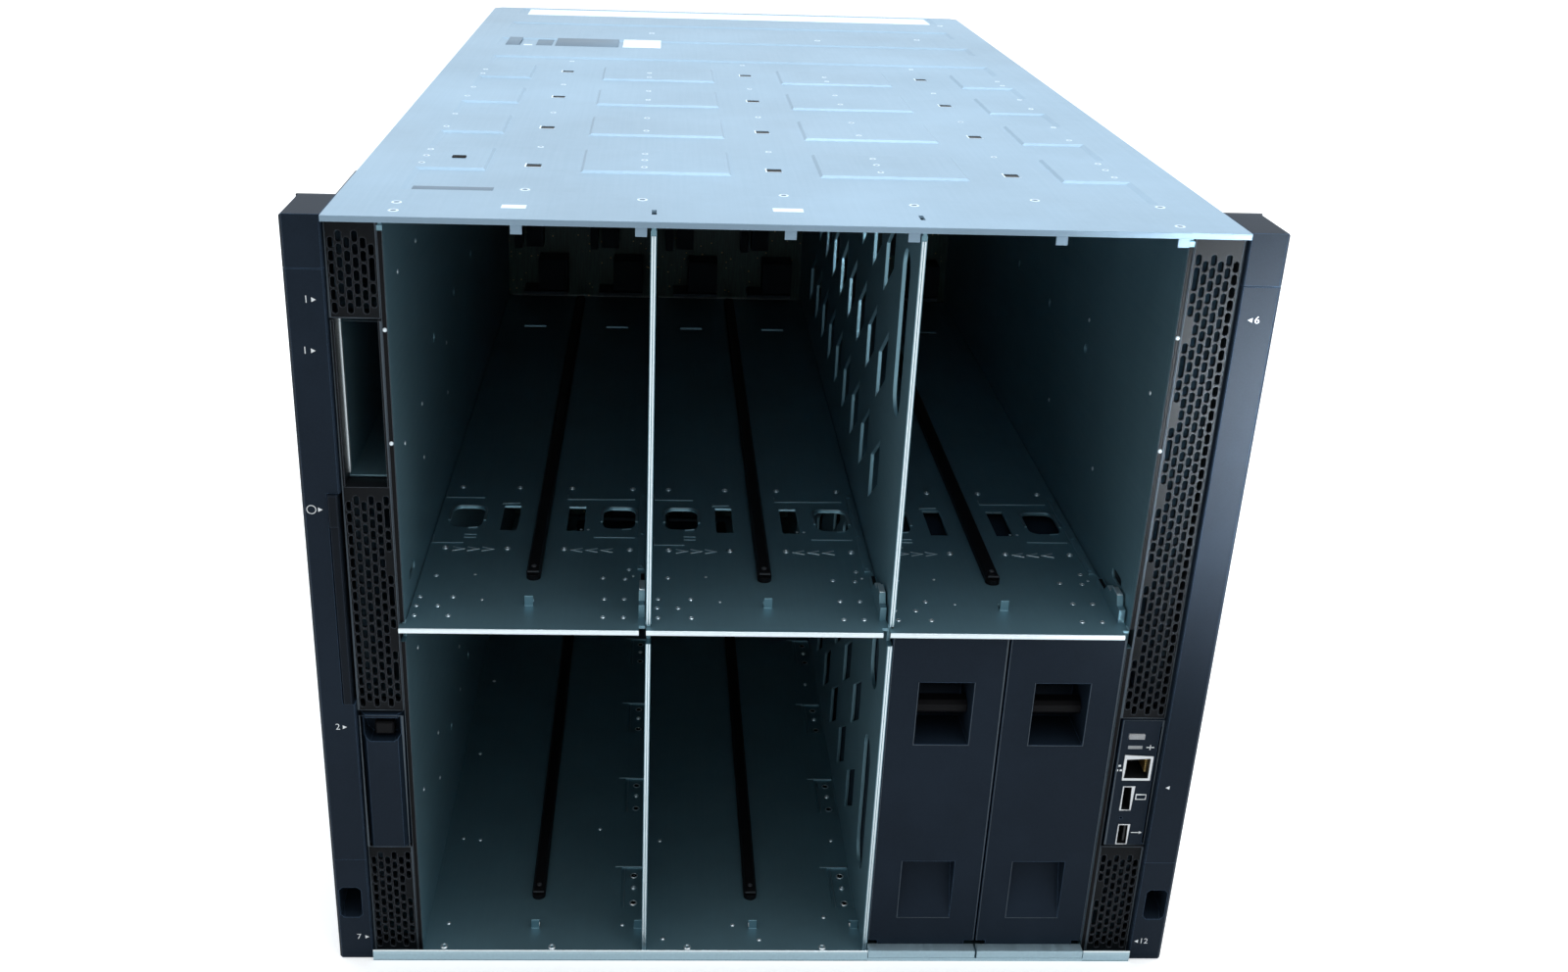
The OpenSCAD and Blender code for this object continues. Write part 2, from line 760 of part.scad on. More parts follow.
// Outline of an ear seen from above, with its front edges bevelled
module ear_outline(s, g) {
  y0 = ear_front + g;
  polygon([[s * (ear_in + g), ear_front + ear_d], [s * (ear_in + g), y0 + 0.6],
    [s * (ear_in + g + 0.6), y0], [s * (ear_out - g - 1.6), y0], [s * (ear_out - g), y0 + 1.6],
    [s * (ear_out - g), ear_front + ear_d]]);
}

module pocket(s) {
  z = rack_hole_z;
  x = s * pocket_x;
  w = pocket_w / 2;
  h = pocket_h / 2;
  intersection() {
    along_y(ear_front - 1, ear_front + pocket_d) cut_rect(x - w, x + w, z - h, z + h, 2);
    along_x(x - w, x + w) polygon([[ear_front - 1, z - h], [ear_front + 1, z - h],
      [ear_front + pocket_d, z - h + 5], [ear_front + pocket_d, z + h],
      [ear_front - 1, z + h]]);
  }
}

// Moulded foot of the ear, solid round the pocket of the rack screw
module ear_foot(s) {
  color(bezel) difference() {
    along_z(fit, foot_top) ear_outline(s, 0);
    pocket(s);
    translate([s * pocket_x, ear_front + ear_d + 1, rack_hole_z]) rotate([90, 0, 0])
      cylinder(r = rack_hole_r + 1.2, h = ear_d);
  }
}

module ear(s) {
  back = ear_front + ear_d;
  z0 = foot_top + seam;
  ear_foot(s);
  color(bezel) difference() {
    along_z(z0, cap_z - 0.3) ear_outline(s, 0);
    difference() {
      along_z(z0 + ear_t, cap_z - 0.3 - ear_t) translate([0, 1]) ear_outline(s, ear_t);
      if (s < 0)
        side_box(s, ear_in - 1, -info_in + info_t + info_gap + ear_t, 0, back + 1,
          tab_z0 - info_gap - ear_t, tab_z1 + info_gap + ear_t);
    }
    if (s < 0)
      side_box(s, ear_in - 1, -info_in + info_t + info_gap, 0, back + 1,
        tab_z0 - info_gap, tab_z1 + info_gap);
  }
}

module ear_cap(s) {
  color(bezel) intersection() {
    along_z(cap_z, body_h) ear_outline(s, 0);
    along_y(ear_front - 1, ear_front + ear_d + 1) {
      a = min(s * ear_in, s * ear_out);
      b = max(s * ear_in, s * ear_out);
      polygon([[a, cap_z - 1], [b, cap_z - 1], [b, body_h - (s > 0 ? 1.2 : 0)],
        [b - (s > 0 ? 1.2 : 0), body_h], [a + (s < 0 ? 1.2 : 0), body_h],
        [a, body_h - (s < 0 ? 1.2 : 0)]]);
    }
  }
}

module ear_caps() {
  ear_cap(-1);
  ear_cap(1);
}

module flange_angle(s, z0, z1) {
  y = ear_front + ear_d;
  side_box(s, half_w, ear_out, y, y + flange_t, z0, z1);
  side_box(s, half_w, half_w + flange_t, y + bite, y + flange_leg, max(z0, floor_t),
    min(z1, top_z));
}

module rack_flange(s) {
  color(dark_steel) {
    difference() {
      flange_angle(s, fit, foot_top);
      translate([s * pocket_x, ear_front + ear_d + flange_t + 1, rack_hole_z])
        rotate([90, 0, 0]) cylinder(r = rack_hole_r, h = flange_t + 2);
    }
    flange_angle(s, foot_top + seam, body_h);
  }
}

module rack_flanges() {
  rack_flange(-1);
  rack_flange(1);
}

// ---- midplane ----

module midplane() {
  color("darkslategray") along_y(midplane_y, midplane_y + midplane_t) difference() {
    rect(-in_x, in_x, floor_t + 1, field_z - 1);
    for (i = [0:5], z = [floor_t + 102, floor_t + 174, shelf_top + 102, shelf_top + 174])
      rect((i - 2.5) * bay_pitch / 2 - 22, (i - 2.5) * bay_pitch / 2 + 22, z - 16, z + 16);
  }
}

connector_d = 24;     // reach of the connectors in front of the midplane

module midplane_connectors() {
  color(dark_steel) for (i = [0:5], z = [floor_t + rail_h + 2, shelf_top + rail_h + 2]) {
    x = (i - 3) * bay_pitch / 2;
    box(x + 29, x + 54, midplane_y - connector_d, midplane_y, z + 4, z + 31);
    box(x + 18.5, x + 33, midplane_y - connector_d + 6, midplane_y, z + 41, z + 60);
    box(x + 9, x + 15, midplane_y - connector_d, midplane_y, z + 41, z + 60);
    box(x + 16, x + 54, midplane_y - connector_d, midplane_y, z - 0.5, z + 3);
  }
}

// ---- rear cage and what it holds ----

cage_y = module_back - cage_d;
slack = 1;            // headroom over each row of modules
supply_z = floor_t + supply_h + slack;
bank_low_z = supply_z + cage_t;
fan_low_z = bank_low_z + 3 * slot_h + slack + cage_t;
bank_top_z = fan_low_z + fan_h + slack + cage_t;
fan_top_z = bank_top_z + 3 * slot_h + slack + cage_t;
link_z = fan_top_z + fan_h + slack + cage_t;
link_top = field_z - slack;
fan_pitch = 2 * in_x / 5;
supply_pitch = 2 * in_x / 6;

// One upright sheet of the cage between two heights
module upright(x, y0, z0, z1) {
  box(x - cage_t / 2, x + cage_t / 2, y0, module_back - 2, z0 + seam, z1 - seam);
}

module rear_cage() {
  color(steel) {
    for (z = [supply_z, fan_low_z - cage_t, bank_top_z - cage_t, fan_top_z - cage_t,
        link_z - cage_t])
      box(-in_x, in_x, cage_y, module_back - 2, z, z + cage_t);
    for (i = [1:5]) upright(i * supply_pitch - in_x, cage_y, floor_t, supply_z);
    for (i = [1:4], z = [fan_low_z, fan_top_z])
      upright(i * fan_pitch - in_x, module_back - 2 - frame_d, z, z + fan_h + slack);
  }
}

function fan_x(i) = ((i % 5) - 2) * fan_pitch;
function fan_z(i) = (i < 5 ? fan_top_z : fan_low_z) + fan_h / 2;
frame_d = 44;         // depth of a fan frame
guard_t = 2.2;        // thickness of the finger guard
mount_t = 5;          // thickness of the motor mount behind the guard

module fan_frame(i) {
  y1 = module_back;
  y0 = y1 - frame_d;
  w = fan_pitch - cage_t - 1.2;
  translate([fan_x(i), 0, fan_z(i)]) color(moulding) {
    along_y(y0, y1) difference() {
      cut_rect(-w / 2, w / 2, -fan_h / 2, fan_h / 2, 2);
      circle(duct_r, $fn = 64);
    }
    along_y(y1 - guard_t, y1) {
      intersection() {
        circle(duct_r + bite, $fn = 64);
        for (a = [0:45:135]) rotate(a) square([2.4, 4 * duct_r], center = true);
      }
      for (r = [hub_r + 6.5, hub_r + 14]) difference() {
        circle(r + 0.9, $fn = 64);
        circle(r - 0.9, $fn = 64);
      }
      circle(hub_r, $fn = 64);
    }
    translate([0, y1 - guard_t + bite, 0]) rotate([90, 0, 0]) {
      cylinder(r = hub_r, h = mount_t + bite);
      cylinder(r = shaft_r, h = mount_t + bite + pin_len);
    }
  }
}

module fan_frames() {
  for (i = [0:9]) fan_frame(i);
}

pin_len = 22;         // length of the shaft pin in the hub
blade_d = 26;         // depth of a rotor along its shaft
blade_gap = 1.2;      // gap between blade tips and duct
blade_pitch = 38;     // lean of a blade
bore_gap = 0.05;      // running clearance on the shaft

module fan_rotor(i) {
  y1 = module_back - guard_t - mount_t - 0.6;
  translate([fan_x(i), y1, fan_z(i)]) rotate([90, 0, 0]) color(black) difference() {
    union() {
      cylinder(r = hub_r - 0.5, h = blade_d);
      intersection() {
        cylinder(r = duct_r - blade_gap, h = blade_d);
        for (a = [0:blades - 1]) rotate(a * 360 / blades) translate([hub_r - 2, 0, blade_d / 2])
          rotate([blade_pitch, 0, 0]) translate([0, -0.9, -blade_d]) cube([duct_r, 1.8, 2 * blade_d]);
      }
    }
    translate([0, 0, -1]) cylinder(r = shaft_r + bore_gap, h = pin_len + 1);
  }
}

supply_gap = 0.8;
inlet_w = 23;         // power inlet at the lower right of a supply
inlet_h = 19;
inlet_d = 16;
inlet_in = inlet_w / 2 + 5.5;
inlet_up = inlet_h / 2 + 5.5;

module power_supply(i) {
  x = (i - 2.5) * supply_pitch;
  w = supply_pitch - cage_t - supply_gap;
  z = floor_t;
  back = module_back;
  inlet_x = x + w / 2 - inlet_in;
  inlet_z = z + inlet_up;
  color(silver) difference() {
    box(x - w / 2, x + w / 2, cage_y + 4, back, z, z + supply_h);
    along_y(back - 4, back + 1) for (c = [0:5], k = [0:5])
      cut_rect(x - w / 2 + 6 + c * 5.6, x - w / 2 + 10.4 + c * 5.6,
        z + 4 + k * 6.2 + (c % 2) * 1.5, z + 8.4 + k * 6.2 + (c % 2) * 1.5, 1.3);
    along_y(back - inlet_d, back + 1) cut_rect(inlet_x - inlet_w / 2, inlet_x + inlet_w / 2,
      inlet_z - inlet_h / 2, inlet_z + inlet_h / 2, 3);
  }
  color(silver) for (dx = [-6, 0, 6])
    box(inlet_x + dx - 1, inlet_x + dx + 1, back - inlet_d - bite, back - 3,
      inlet_z - 3, inlet_z + 3);
  color(black) along_x(inlet_x - 9, inlet_x + 9) difference() {
    polygon([[back - bite, z + supply_h - 16], [back + 8, z + supply_h - 14],
      [back + 8, z + supply_h - 4], [back - bite, z + supply_h - 2]]);
    polygon([[back, z + supply_h - 13], [back + 5, z + supply_h - 12],
      [back + 5, z + supply_h - 6], [back, z + supply_h - 5]]);
  }
}

module interconnect_blank(z) {
  t = 1.2;
  d = 20;
  last = floor((in_x - 14) / 16);
  color(dark_steel) {
    along_y(module_back - t, module_back) difference() {
      rect(-in_x + 0.5, in_x - 0.5, z + fit, z + slot_h - fit);
      for (c = [-last:last], k = [0, 1])
        cut_rect(c * 16 - 6.5 + k * 3, c * 16 + 3.5 + k * 3, z + slot_h / 2 - 8.6 + k * 9.5,
          z + slot_h / 2 - 1.6 + k * 9.5, 2);
    }
    for (s = [-1, 1]) side_box(s, in_x - 0.5 - t, in_x - 0.5, module_back - d,
      module_back - t + bite, z + fit, z + slot_h - fit);
  }
}

link_w = 108;
link_in = 20;         // distance of a link module from the middle
jack_w = 13;
jack_h = 11;

module link_module(x) {
  back = module_back;
  color(dark_steel) difference() {
    box(x - link_w / 2, x + link_w / 2, cage_y + 10, back, link_z + fit, link_top);
    along_y(back - 14, back + 1) for (dx = [16, 34])
      port(x - link_w / 2 + dx, (link_z + link_top) / 2, jack_w, jack_h, 0);
    along_y(back - 3, back + 1) for (c = [0:6], k = [0:2])
      cut_rect(x + 6 + c * 6, x + 10.4 + c * 6, link_z + 8 + k * 6, link_z + 12.4 + k * 6, 1.2);
  }
}

module rear_modules() {
  for (k = [0:2], z = [bank_low_z, bank_top_z]) interconnect_blank(z + k * slot_h);
  for (s = [-1, 1]) {
    link_module(s * (link_in + link_w / 2));
    color(dark_steel) side_box(s, link_in + link_w + 0.5, in_x - 0.5, module_back - 1.2,
      module_back, link_z + fit, link_top);
  }
  color(dark_steel) box(0.5 - link_in, link_in - 0.5, module_back - 1.2, module_back,
    link_z + fit, link_top);
}

place() base_pan();
place() top_cover();
place() side_sheet(-1);  // left_side
place() side_sheet(1);  // right_side
place() bay_wall(-1);  // bay_wall_left
place() bay_wall(1);  // bay_wall_right
place() partition(-1);  // partition_left
place() partition(1);  // partition_right
place() floor_rails();
place() shelf(0);  // shelf_1
place() shelf(1);  // shelf_2
place() shelf(2);  // shelf_3
place() rail(bay_x(0), shelf_top, rail_front + shelf_push);  // shelf_rail_1
place() rail(bay_x(1), shelf_top, rail_front + shelf_push);  // shelf_rail_2
place() rail(bay_x(2), shelf_top, rail_front + shelf_push);  // shelf_rail_3
place() shelf_latch(0);  // shelf_latch_1
place() shelf_latch(1);  // shelf_latch_2
place() shelf_latch(2);  // shelf_latch_3
place() grille(-1, bay1_top, grille_top);  // grille_left_top
place() grille_left_mid();
place() grille(-1, grille_low, blank_z - 1);  // grille_left_low
place() grille(1, panel_top + module_gap, grille_top);  // grille_right_top
place() grille(1, grille_low, panel_z - module_gap);  // grille_right_low
place() appliance_sleeves();
place() appliance_blank();
place() appliance_latch();
place() info_tab();
place() front_panel();
place() uid_button();
place() status_light();
place() front_ports();
place() bay_blank(bay_x(2) - bay_w / 4);  // blank_11
place() bay_blank(bay_x(2) + bay_w / 4);  // blank_12
place() blank_latch(bay_x(2) - bay_w / 4);  // blank_latch_11
place() blank_latch(bay_x(2) + bay_w / 4);  // blank_latch_12
place() ear(-1);  // left_ear
place() ear(1);  // right_ear
place() ear_caps();
place() rack_flanges();
place() midplane();
place() midplane_connectors();
place() rear_cage();
place() fan_frames();
place() fan_rotor(0);  // fan_rotor_1
place() fan_rotor(1);  // fan_rotor_2
place() fan_rotor(2);  // fan_rotor_3
place() fan_rotor(3);  // fan_rotor_4
place() fan_rotor(4);  // fan_rotor_5
place() fan_rotor(5);  // fan_rotor_6
place() fan_rotor(6);  // fan_rotor_7
place() fan_rotor(7);  // fan_rotor_8
place() fan_rotor(8);  // fan_rotor_9
place() fan_rotor(9);  // fan_rotor_10
place() power_supply(0);  // power_supply_1
place() power_supply(1);  // power_supply_2
place() power_supply(2);  // power_supply_3
place() power_supply(3);  // power_supply_4
place() power_supply(4);  // power_supply_5
place() power_supply(5);  // power_supply_6
place() rear_modules();
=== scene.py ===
"""Dresses the blade server chassis: materials, small pieces, marks, light and camera.

Laid out as a Blender add-on that is run as a script. main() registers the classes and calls
the operators in order.
"""

import math

import bmesh
import bpy
from mathutils import Matrix, Vector


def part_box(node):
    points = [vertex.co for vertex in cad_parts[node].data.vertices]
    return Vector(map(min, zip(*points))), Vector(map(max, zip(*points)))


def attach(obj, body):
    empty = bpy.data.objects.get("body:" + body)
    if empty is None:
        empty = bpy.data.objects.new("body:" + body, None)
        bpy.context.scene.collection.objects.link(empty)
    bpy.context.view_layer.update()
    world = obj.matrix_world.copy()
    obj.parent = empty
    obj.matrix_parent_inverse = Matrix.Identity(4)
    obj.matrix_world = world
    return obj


bl_info = {
    "name": "Blade chassis dresser",
    "version": (1, 0, 0),
    "blender": (4, 0, 0),
    "location": "View3D > Sidebar > Chassis",
    "description": "Adds materials, fixings, marks, light and camera to a blade server chassis",
    "category": "Object",
}

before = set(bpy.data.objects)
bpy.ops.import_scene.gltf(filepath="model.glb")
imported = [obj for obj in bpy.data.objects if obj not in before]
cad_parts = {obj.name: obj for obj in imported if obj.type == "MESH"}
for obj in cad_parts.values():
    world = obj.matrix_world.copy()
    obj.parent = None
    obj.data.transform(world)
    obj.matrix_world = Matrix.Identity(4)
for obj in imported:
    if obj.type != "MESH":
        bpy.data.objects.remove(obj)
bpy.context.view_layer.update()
MM = 0.001
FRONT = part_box("base_pan")[0][1]
SHELVES = ("1", "2", "3")
PITCH = (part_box("shelf_2")[0][0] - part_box("shelf_1")[0][0])


# ---- node trees ----


class Tree:
    """A material's node tree with short calls for adding and linking nodes."""

    def __init__(self, name):
        self.material = bpy.data.materials.new(name)
        self.material.use_nodes = True
        self.nodes = self.material.node_tree.nodes
        self.links = self.material.node_tree.links
        self.nodes.clear()
        self.shader = self.nodes.new("ShaderNodeBsdfPrincipled")
        output = self.nodes.new("ShaderNodeOutputMaterial")
        self.links.new(self.shader.outputs[0], output.inputs[0])
        self.place = self.nodes.new("ShaderNodeTexCoord").outputs["Object"]

    def put(self, socket, value):
        """Links a socket, or sets a plain value."""
        if isinstance(value, bpy.types.NodeSocket):
            self.links.new(value, socket)
        else:
            socket.default_value = value

    def set(self, **values):
        """Sets the shader's inputs by name, with _ for a space."""
        for key, value in values.items():
            self.put(self.shader.inputs[key.replace("_", " ")], value)
        return self

    def stretched(self, x, y, z):
        """The object coordinates multiplied along each axis."""
        node = self.nodes.new("ShaderNodeMapping")
        self.links.new(self.place, node.inputs["Vector"])
        node.inputs["Scale"].default_value = (x, y, z)
        return node.outputs[0]

    def noise(self, scale, detail=3.0, rough=0.5, place=None):
        node = self.nodes.new("ShaderNodeTexNoise")
        self.links.new(place or self.place, node.inputs["Vector"])
        node.inputs["Scale"].default_value = scale
        node.inputs["Detail"].default_value = detail
        node.inputs["Roughness"].default_value = rough
        return node.outputs["Fac"]

    def cells(self, scale, place=None):
        node = self.nodes.new("ShaderNodeTexVoronoi")
        self.links.new(place or self.place, node.inputs["Vector"])
        node.inputs["Scale"].default_value = scale
        return node.outputs["Color"]

    def ramp(self, factor, *stops):
        """A colour ramp; each stop is a position and a grey level or a colour."""
        node = self.nodes.new("ShaderNodeValToRGB")
        self.links.new(factor, node.inputs[0])
        parts = node.color_ramp.elements
        while len(parts) < len(stops):
            parts.new(0.5)
        for part, (at, tone) in zip(parts, stops):
            part.position = at
            part.color = (*tone, 1) if isinstance(tone, tuple) else (tone, tone, tone, 1)
        return node.outputs[0]

    def math(self, kind, a, b=0.0):
        node = self.nodes.new("ShaderNodeMath")
        node.operation = kind
        self.put(node.inputs[0], a)
        self.put(node.inputs[1], b)
        return node.outputs[0]

    def mix(self, factor, a, b, kind="MIX"):
        node = self.nodes.new("ShaderNodeMix")
        node.data_type = "RGBA"
        node.blend_type = kind
        self.put(node.inputs["Factor"], factor)
        self.put(node.inputs[6], a)
        self.put(node.inputs[7], b)
        return node.outputs[2]

    def bump(self, height, strength, distance, before=None):
        node = self.nodes.new("ShaderNodeBump")
        node.inputs["Strength"].default_value = strength
        node.inputs["Distance"].default_value = distance
        self.links.new(height, node.inputs["Height"])
        if before is not None:
            self.links.new(before, node.inputs["Normal"])
        return node.outputs[0]

    def edges(self, radius, low=0.02, high=0.25):
        """A mask that is white along the object's sharp edges, and the softened normal."""
        soft = self.nodes.new("ShaderNodeBevel")
        soft.samples = 4
        soft.inputs["Radius"].default_value = radius
        flat = self.nodes.new("ShaderNodeNewGeometry")
        dot = self.nodes.new("ShaderNodeVectorMath")
        dot.operation = "DOT_PRODUCT"
        self.links.new(soft.outputs[0], dot.inputs[0])
        self.links.new(flat.outputs["Normal"], dot.inputs[1])
        away = self.math("SUBTRACT", 1.0, dot.outputs["Value"])
        return self.ramp(away, (low, 0.0), (high, 1.0)), soft.outputs[0]


def tone(colour, factor):
    return tuple(min(1.0, c * factor) for c in colour) + (1.0,)


def sheet_metal(name, colour, polish, wear_and_highlight, metal=0.75):
    """Zinc-plated sheet: fine rolling streaks, a faint spangle, smudges, and edges lightened partly as
    bare cut steel and partly as a painted highlight.
    """
    t = Tree(name)
    streaks = t.noise(1.0, 4.0, 0.6, t.stretched(420, 9, 420))
    spangle = t.cells(160)
    grey = t.nodes.new("ShaderNodeSeparateColor")
    t.links.new(spangle, grey.inputs[0])
    smudge = t.noise(7.0, 6.0, 0.62)
    cloud = t.noise(2.4, 3.0)
    base = t.mix(t.ramp(smudge, (0.35, 0.0), (0.7, 1.0)), tone(colour, 0.88), tone(colour, 1.06))
    base = t.mix(t.math("MULTIPLY", grey.outputs[0], 0.10), base, tone(colour, 1.15))
    base = t.mix(t.math("MULTIPLY", streaks, 0.16), base, tone(colour, 0.72))
    edge, normal = t.edges(0.0007)
    # Lightens the sharp edges: partly bare cut steel, partly a painted highlight.
    base = t.mix(t.math("MULTIPLY", edge, wear_and_highlight), base, tone(colour, 1.7))
    rough = t.ramp(cloud, (0.3, polish - 0.05), (0.75, polish + 0.08))
    rough = t.math("ADD", t.math("MULTIPLY", streaks, 0.10), rough)
    t.set(Base_Color=base, Roughness=rough, Metallic=metal)
    t.set(Normal=t.bump(streaks, 0.05, 0.0002, normal))
    return t.material


def painted_metal(name, colour, polish):
    """Powder coat with a fine orange-peel surface."""
    t = Tree(name)
    peel = t.noise(900.0, 2.0)
    dust = t.noise(9.0, 5.0, 0.6)
    edge, normal = t.edges(0.0006)
    base = t.mix(t.ramp(dust, (0.45, 0.0), (0.8, 1.0)), tone(colour, 1.0), tone(colour, 1.5))
    # Lightens the sharp edges 3.5 times: a painted highlight.
    base = t.mix(t.math("MULTIPLY", edge, 0.4), base, tone(colour, 3.5))
    t.set(Base_Color=base, Roughness=t.ramp(dust, (0.3, polish), (0.8, polish + 0.12)))
    t.set(Metallic=0.2, Normal=t.bump(peel, 0.10, 0.0001, normal))
    return t.material


def moulded(name, colour, polish, grain, scuff_and_highlight=0.35, lift=3.0):
    """Moulded plastic with a fine spark-eroded grain, dust, and paler edges that are partly scuffing
    and partly a painted highlight.
    """
    t = Tree(name)
    fine = t.noise(grain, 2.0, 0.6)
    dust = t.noise(14.0, 6.0, 0.65)
    cloud = t.noise(3.0, 3.0)
    edge, normal = t.edges(0.0006)
    base = t.mix(t.ramp(dust, (0.5, 0.0), (0.85, 1.0)), tone(colour, 1.0), tone(colour, 1.45))
    base = t.mix(t.ramp(fine, (0.35, 0.0), (0.65, 0.35)), base, tone(colour, 1.5))
    # Lightens the sharp edges by lift: partly scuffing, partly a painted highlight.
    base = t.mix(t.math("MULTIPLY", edge, scuff_and_highlight), base, tone(colour, lift))
    t.set(Base_Color=base, Roughness=t.ramp(cloud, (0.3, polish - 0.04), (0.8, polish + 0.08)))
    t.set(Normal=t.bump(fine, 0.18, 0.00012, normal), Specular_IOR_Level=0.06)
    return t.material


def board(name):
    """A circuit board: green varnish with copper tracks and pads showing through."""
    t = Tree(name)
    tracks = t.ramp(t.noise(1.0, 1.0, 0.5, t.stretched(900, 1, 60)), (0.49, 0.0), (0.52, 1.0))
    pads = t.nodes.new("ShaderNodeTexVoronoi")
    t.links.new(t.place, pads.inputs["Vector"])
    pads.inputs["Scale"].default_value = 180
    dots = t.ramp(pads.outputs["Distance"], (0.10, 1.0), (0.14, 0.0))
    base = t.mix(t.math("MULTIPLY", tracks, 0.5), (0.010, 0.035, 0.026, 1), (0.02, 0.07, 0.05, 1))
    base = t.mix(dots, base, (0.45, 0.33, 0.12, 1))
    t.set(Base_Color=base, Roughness=0.38)
    t.set(Normal=t.bump(tracks, 0.2, 0.0001))
    return t.material


def plated(name, colour, polish):
    """Bright plating with light draw marks."""
    t = Tree(name)
    draw = t.noise(1.0, 3.0, 0.5, t.stretched(600, 40, 600))
    edge, normal = t.edges(0.0003)
    base = t.mix(t.math("MULTIPLY", draw, 0.3), tone(colour, 1.0), tone(colour, 0.7))
    # Lightens the sharp edges: a painted highlight.
    base = t.mix(t.math("MULTIPLY", edge, 0.5), base, tone(colour, 1.35))
    t.set(Base_Color=base, Metallic=0.9, Roughness=t.ramp(draw, (0.3, polish), (0.7, polish + 0.12)))
    t.set(Normal=normal)
    return t.material


def plain_ink(name, colour):
    """Printed ink: matt, with slightly uneven cover."""
    t = Tree(name)
    patch = t.noise(2500.0, 2.0)
    t.set(Base_Color=t.mix(t.ramp(patch, (0.3, 0.0), (0.7, 0.4)), tone(colour, 1.0), tone(colour, 0.8)))
    t.set(Roughness=0.6)
    return t.material


def light_pipe(name):
    t = Tree(name)
    depth = t.noise(700.0, 2.0)
    t.set(Base_Color=t.mix(depth, (0.35, 0.37, 0.38, 1), (0.5, 0.52, 0.53, 1)))
    t.set(Roughness=0.2, Transmission_Weight=0.3)
    return t.material


# ---- mesh building ----


def at(x, y, z):
    """A point in millimetres: X and Z in the frame, Y behind the front lip."""
    return Vector((x * MM, FRONT + y * MM, z * MM))


class Shape:
    """Collects geometry for one object. Sizes are in millimetres."""

    def __init__(self):
        self.mesh = bmesh.new()

    def turned(self, profile, where, axis, sides=20):
        """A solid of revolution: profile is a list of (radius, height) along axis."""
        turn = Vector((0, 0, 1)).rotation_difference(Vector(axis)).to_matrix().to_4x4()
        move = Matrix.Translation(where) @ turn
        rings = []
        for radius, height in profile:
            if radius <= 0:
                rings.append([self.mesh.verts.new(move @ Vector((0, 0, height * MM)))])
                continue
            rings.append([
                self.mesh.verts.new(move @ Vector((
                    radius * MM * math.cos(2 * math.pi * k / sides),
                    radius * MM * math.sin(2 * math.pi * k / sides), height * MM)))
                for k in range(sides)])
        for low, high in zip(rings, rings[1:]):
            for k in range(sides):
                n = (k + 1) % sides
                if len(low) == 1 and len(high) == 1:
                    continue
                if len(low) == 1:
                    self.mesh.faces.new((low[0], high[k], high[n]))
                elif len(high) == 1:
                    self.mesh.faces.new((low[k], low[n], high[0]))
                else:
                    self.mesh.faces.new((low[k], low[n], high[n], high[k]))
        return self

    def prism(self, outline, where, along, up, thick):
        """An outline of (a, b) points extruded by thick. a runs along the first direction,
        b along the second."""
        a = Vector(along).normalized()
        b = Vector(up).normalized()
        out = a.cross(b)
        low = [self.mesh.verts.new(where + a * (p[0] * MM) + b * (p[1] * MM)) for p in outline]
        high = [self.mesh.verts.new(v.co + out * (thick * MM)) for v in low]
        n = len(outline)
        self.mesh.faces.new(low[::-1])
        self.mesh.faces.new(high)
        for k in range(n):
            self.mesh.faces.new((low[k], low[(k + 1) % n], high[(k + 1) % n], high[k]))
        return self

    def line(self, points, where, along, up, width, thick):
        """A bent strip of constant width through (a, b) points."""
        left = []
        right = []
        for k, p in enumerate(points):
            before = Vector(points[max(k - 1, 0)])
            after = Vector(points[min(k + 1, len(points) - 1)])
            way = (after - before).normalized()
            across = Vector((-way.y, way.x)) * width / 2
            if 0 < k < len(points) - 1:
                bend = (Vector(p) - before).normalized().dot(way)
                across /= max(bend, 0.3)
            left.append(tuple(Vector(p) + across))
            right.append(tuple(Vector(p) - across))
        return self.prism(right + left[::-1], where, along, up, thick)

    def block(self, low, high, soft=0.2):
        """A box between two corners in millimetres, its edges bevelled."""
        made = bmesh.ops.create_cube(self.mesh, size=1.0)["verts"]
        a = at(*low)
        b = at(*high)
        for v in made:
            v.co = Vector(((a[i] + b[i]) / 2 + v.co[i] * (b[i] - a[i]) for i in range(3)))
        edges = list({e for v in made for e in v.link_edges})
        bmesh.ops.bevel(self.mesh, geom=edges, offset=soft * MM, segments=2, affect="EDGES",
                        profile=0.7)
        return self

    def rolled(self, start, way, length, width, depth):
        """A rolled edge: a strip with a rounded face towards the front."""
        along = Vector((1, 0, 0)) if way == "Z" else Vector((0, 1, 0))
        up = Vector((0, 1, 0)) if way == "Z" else Vector((0, 0, 1))
        turns = [math.radians(a) for a in range(-90, 91, 30)]
        bow = [(math.sin(a) * width / 2, -math.cos(a) * depth) for a in turns]
        outline = bow if way == "Z" else [(b, a) for a, b in bow]
        return self.prism(outline, start, along, up, length)

    def ring(self, where, axis, inner, outer, height, sides=24):
        """A raised rim round a hole."""
        mid = (inner + outer) / 2
        return self.turned([(inner, 0), (inner, height * 0.6), (mid, height), (outer, 0)],
                           where, axis, sides)

    def dome(self, where, axis, radius, height):
        """A shallow rivet head or dimple."""
        steps = [(radius * math.cos(a), height * math.sin(a))
                 for a in (0.0, 0.4, 0.8, 1.2)]
        return self.turned(steps + [(0, height)], where, axis)

    def screw(self, where, axis, radius, height):
        """A pan-head screw with a round drive socket."""
        r = radius
        return self.turned([(r, 0), (r * 0.96, height * 0.6), (r * 0.8, height),
                            (r * 0.42, height), (r * 0.38, height * 0.3), (0, height * 0.3)],
                           where, axis)

    def piece(self, name, body, material, smooth=35):
        """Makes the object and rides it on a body."""
        bmesh.ops.recalc_face_normals(self.mesh, faces=self.mesh.faces)
        data = bpy.data.meshes.new(name)
        self.mesh.to_mesh(data)
        self.mesh.free()
        limit = math.radians(smooth)
        data.set_sharp_from_angle(angle=limit)
        for face in data.polygons:
            face.use_smooth = True
        data.materials.append(material)
        made = bpy.data.objects.new(name, data)
        bpy.context.scene.collection.objects.link(made)
        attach(made, body)
        return made


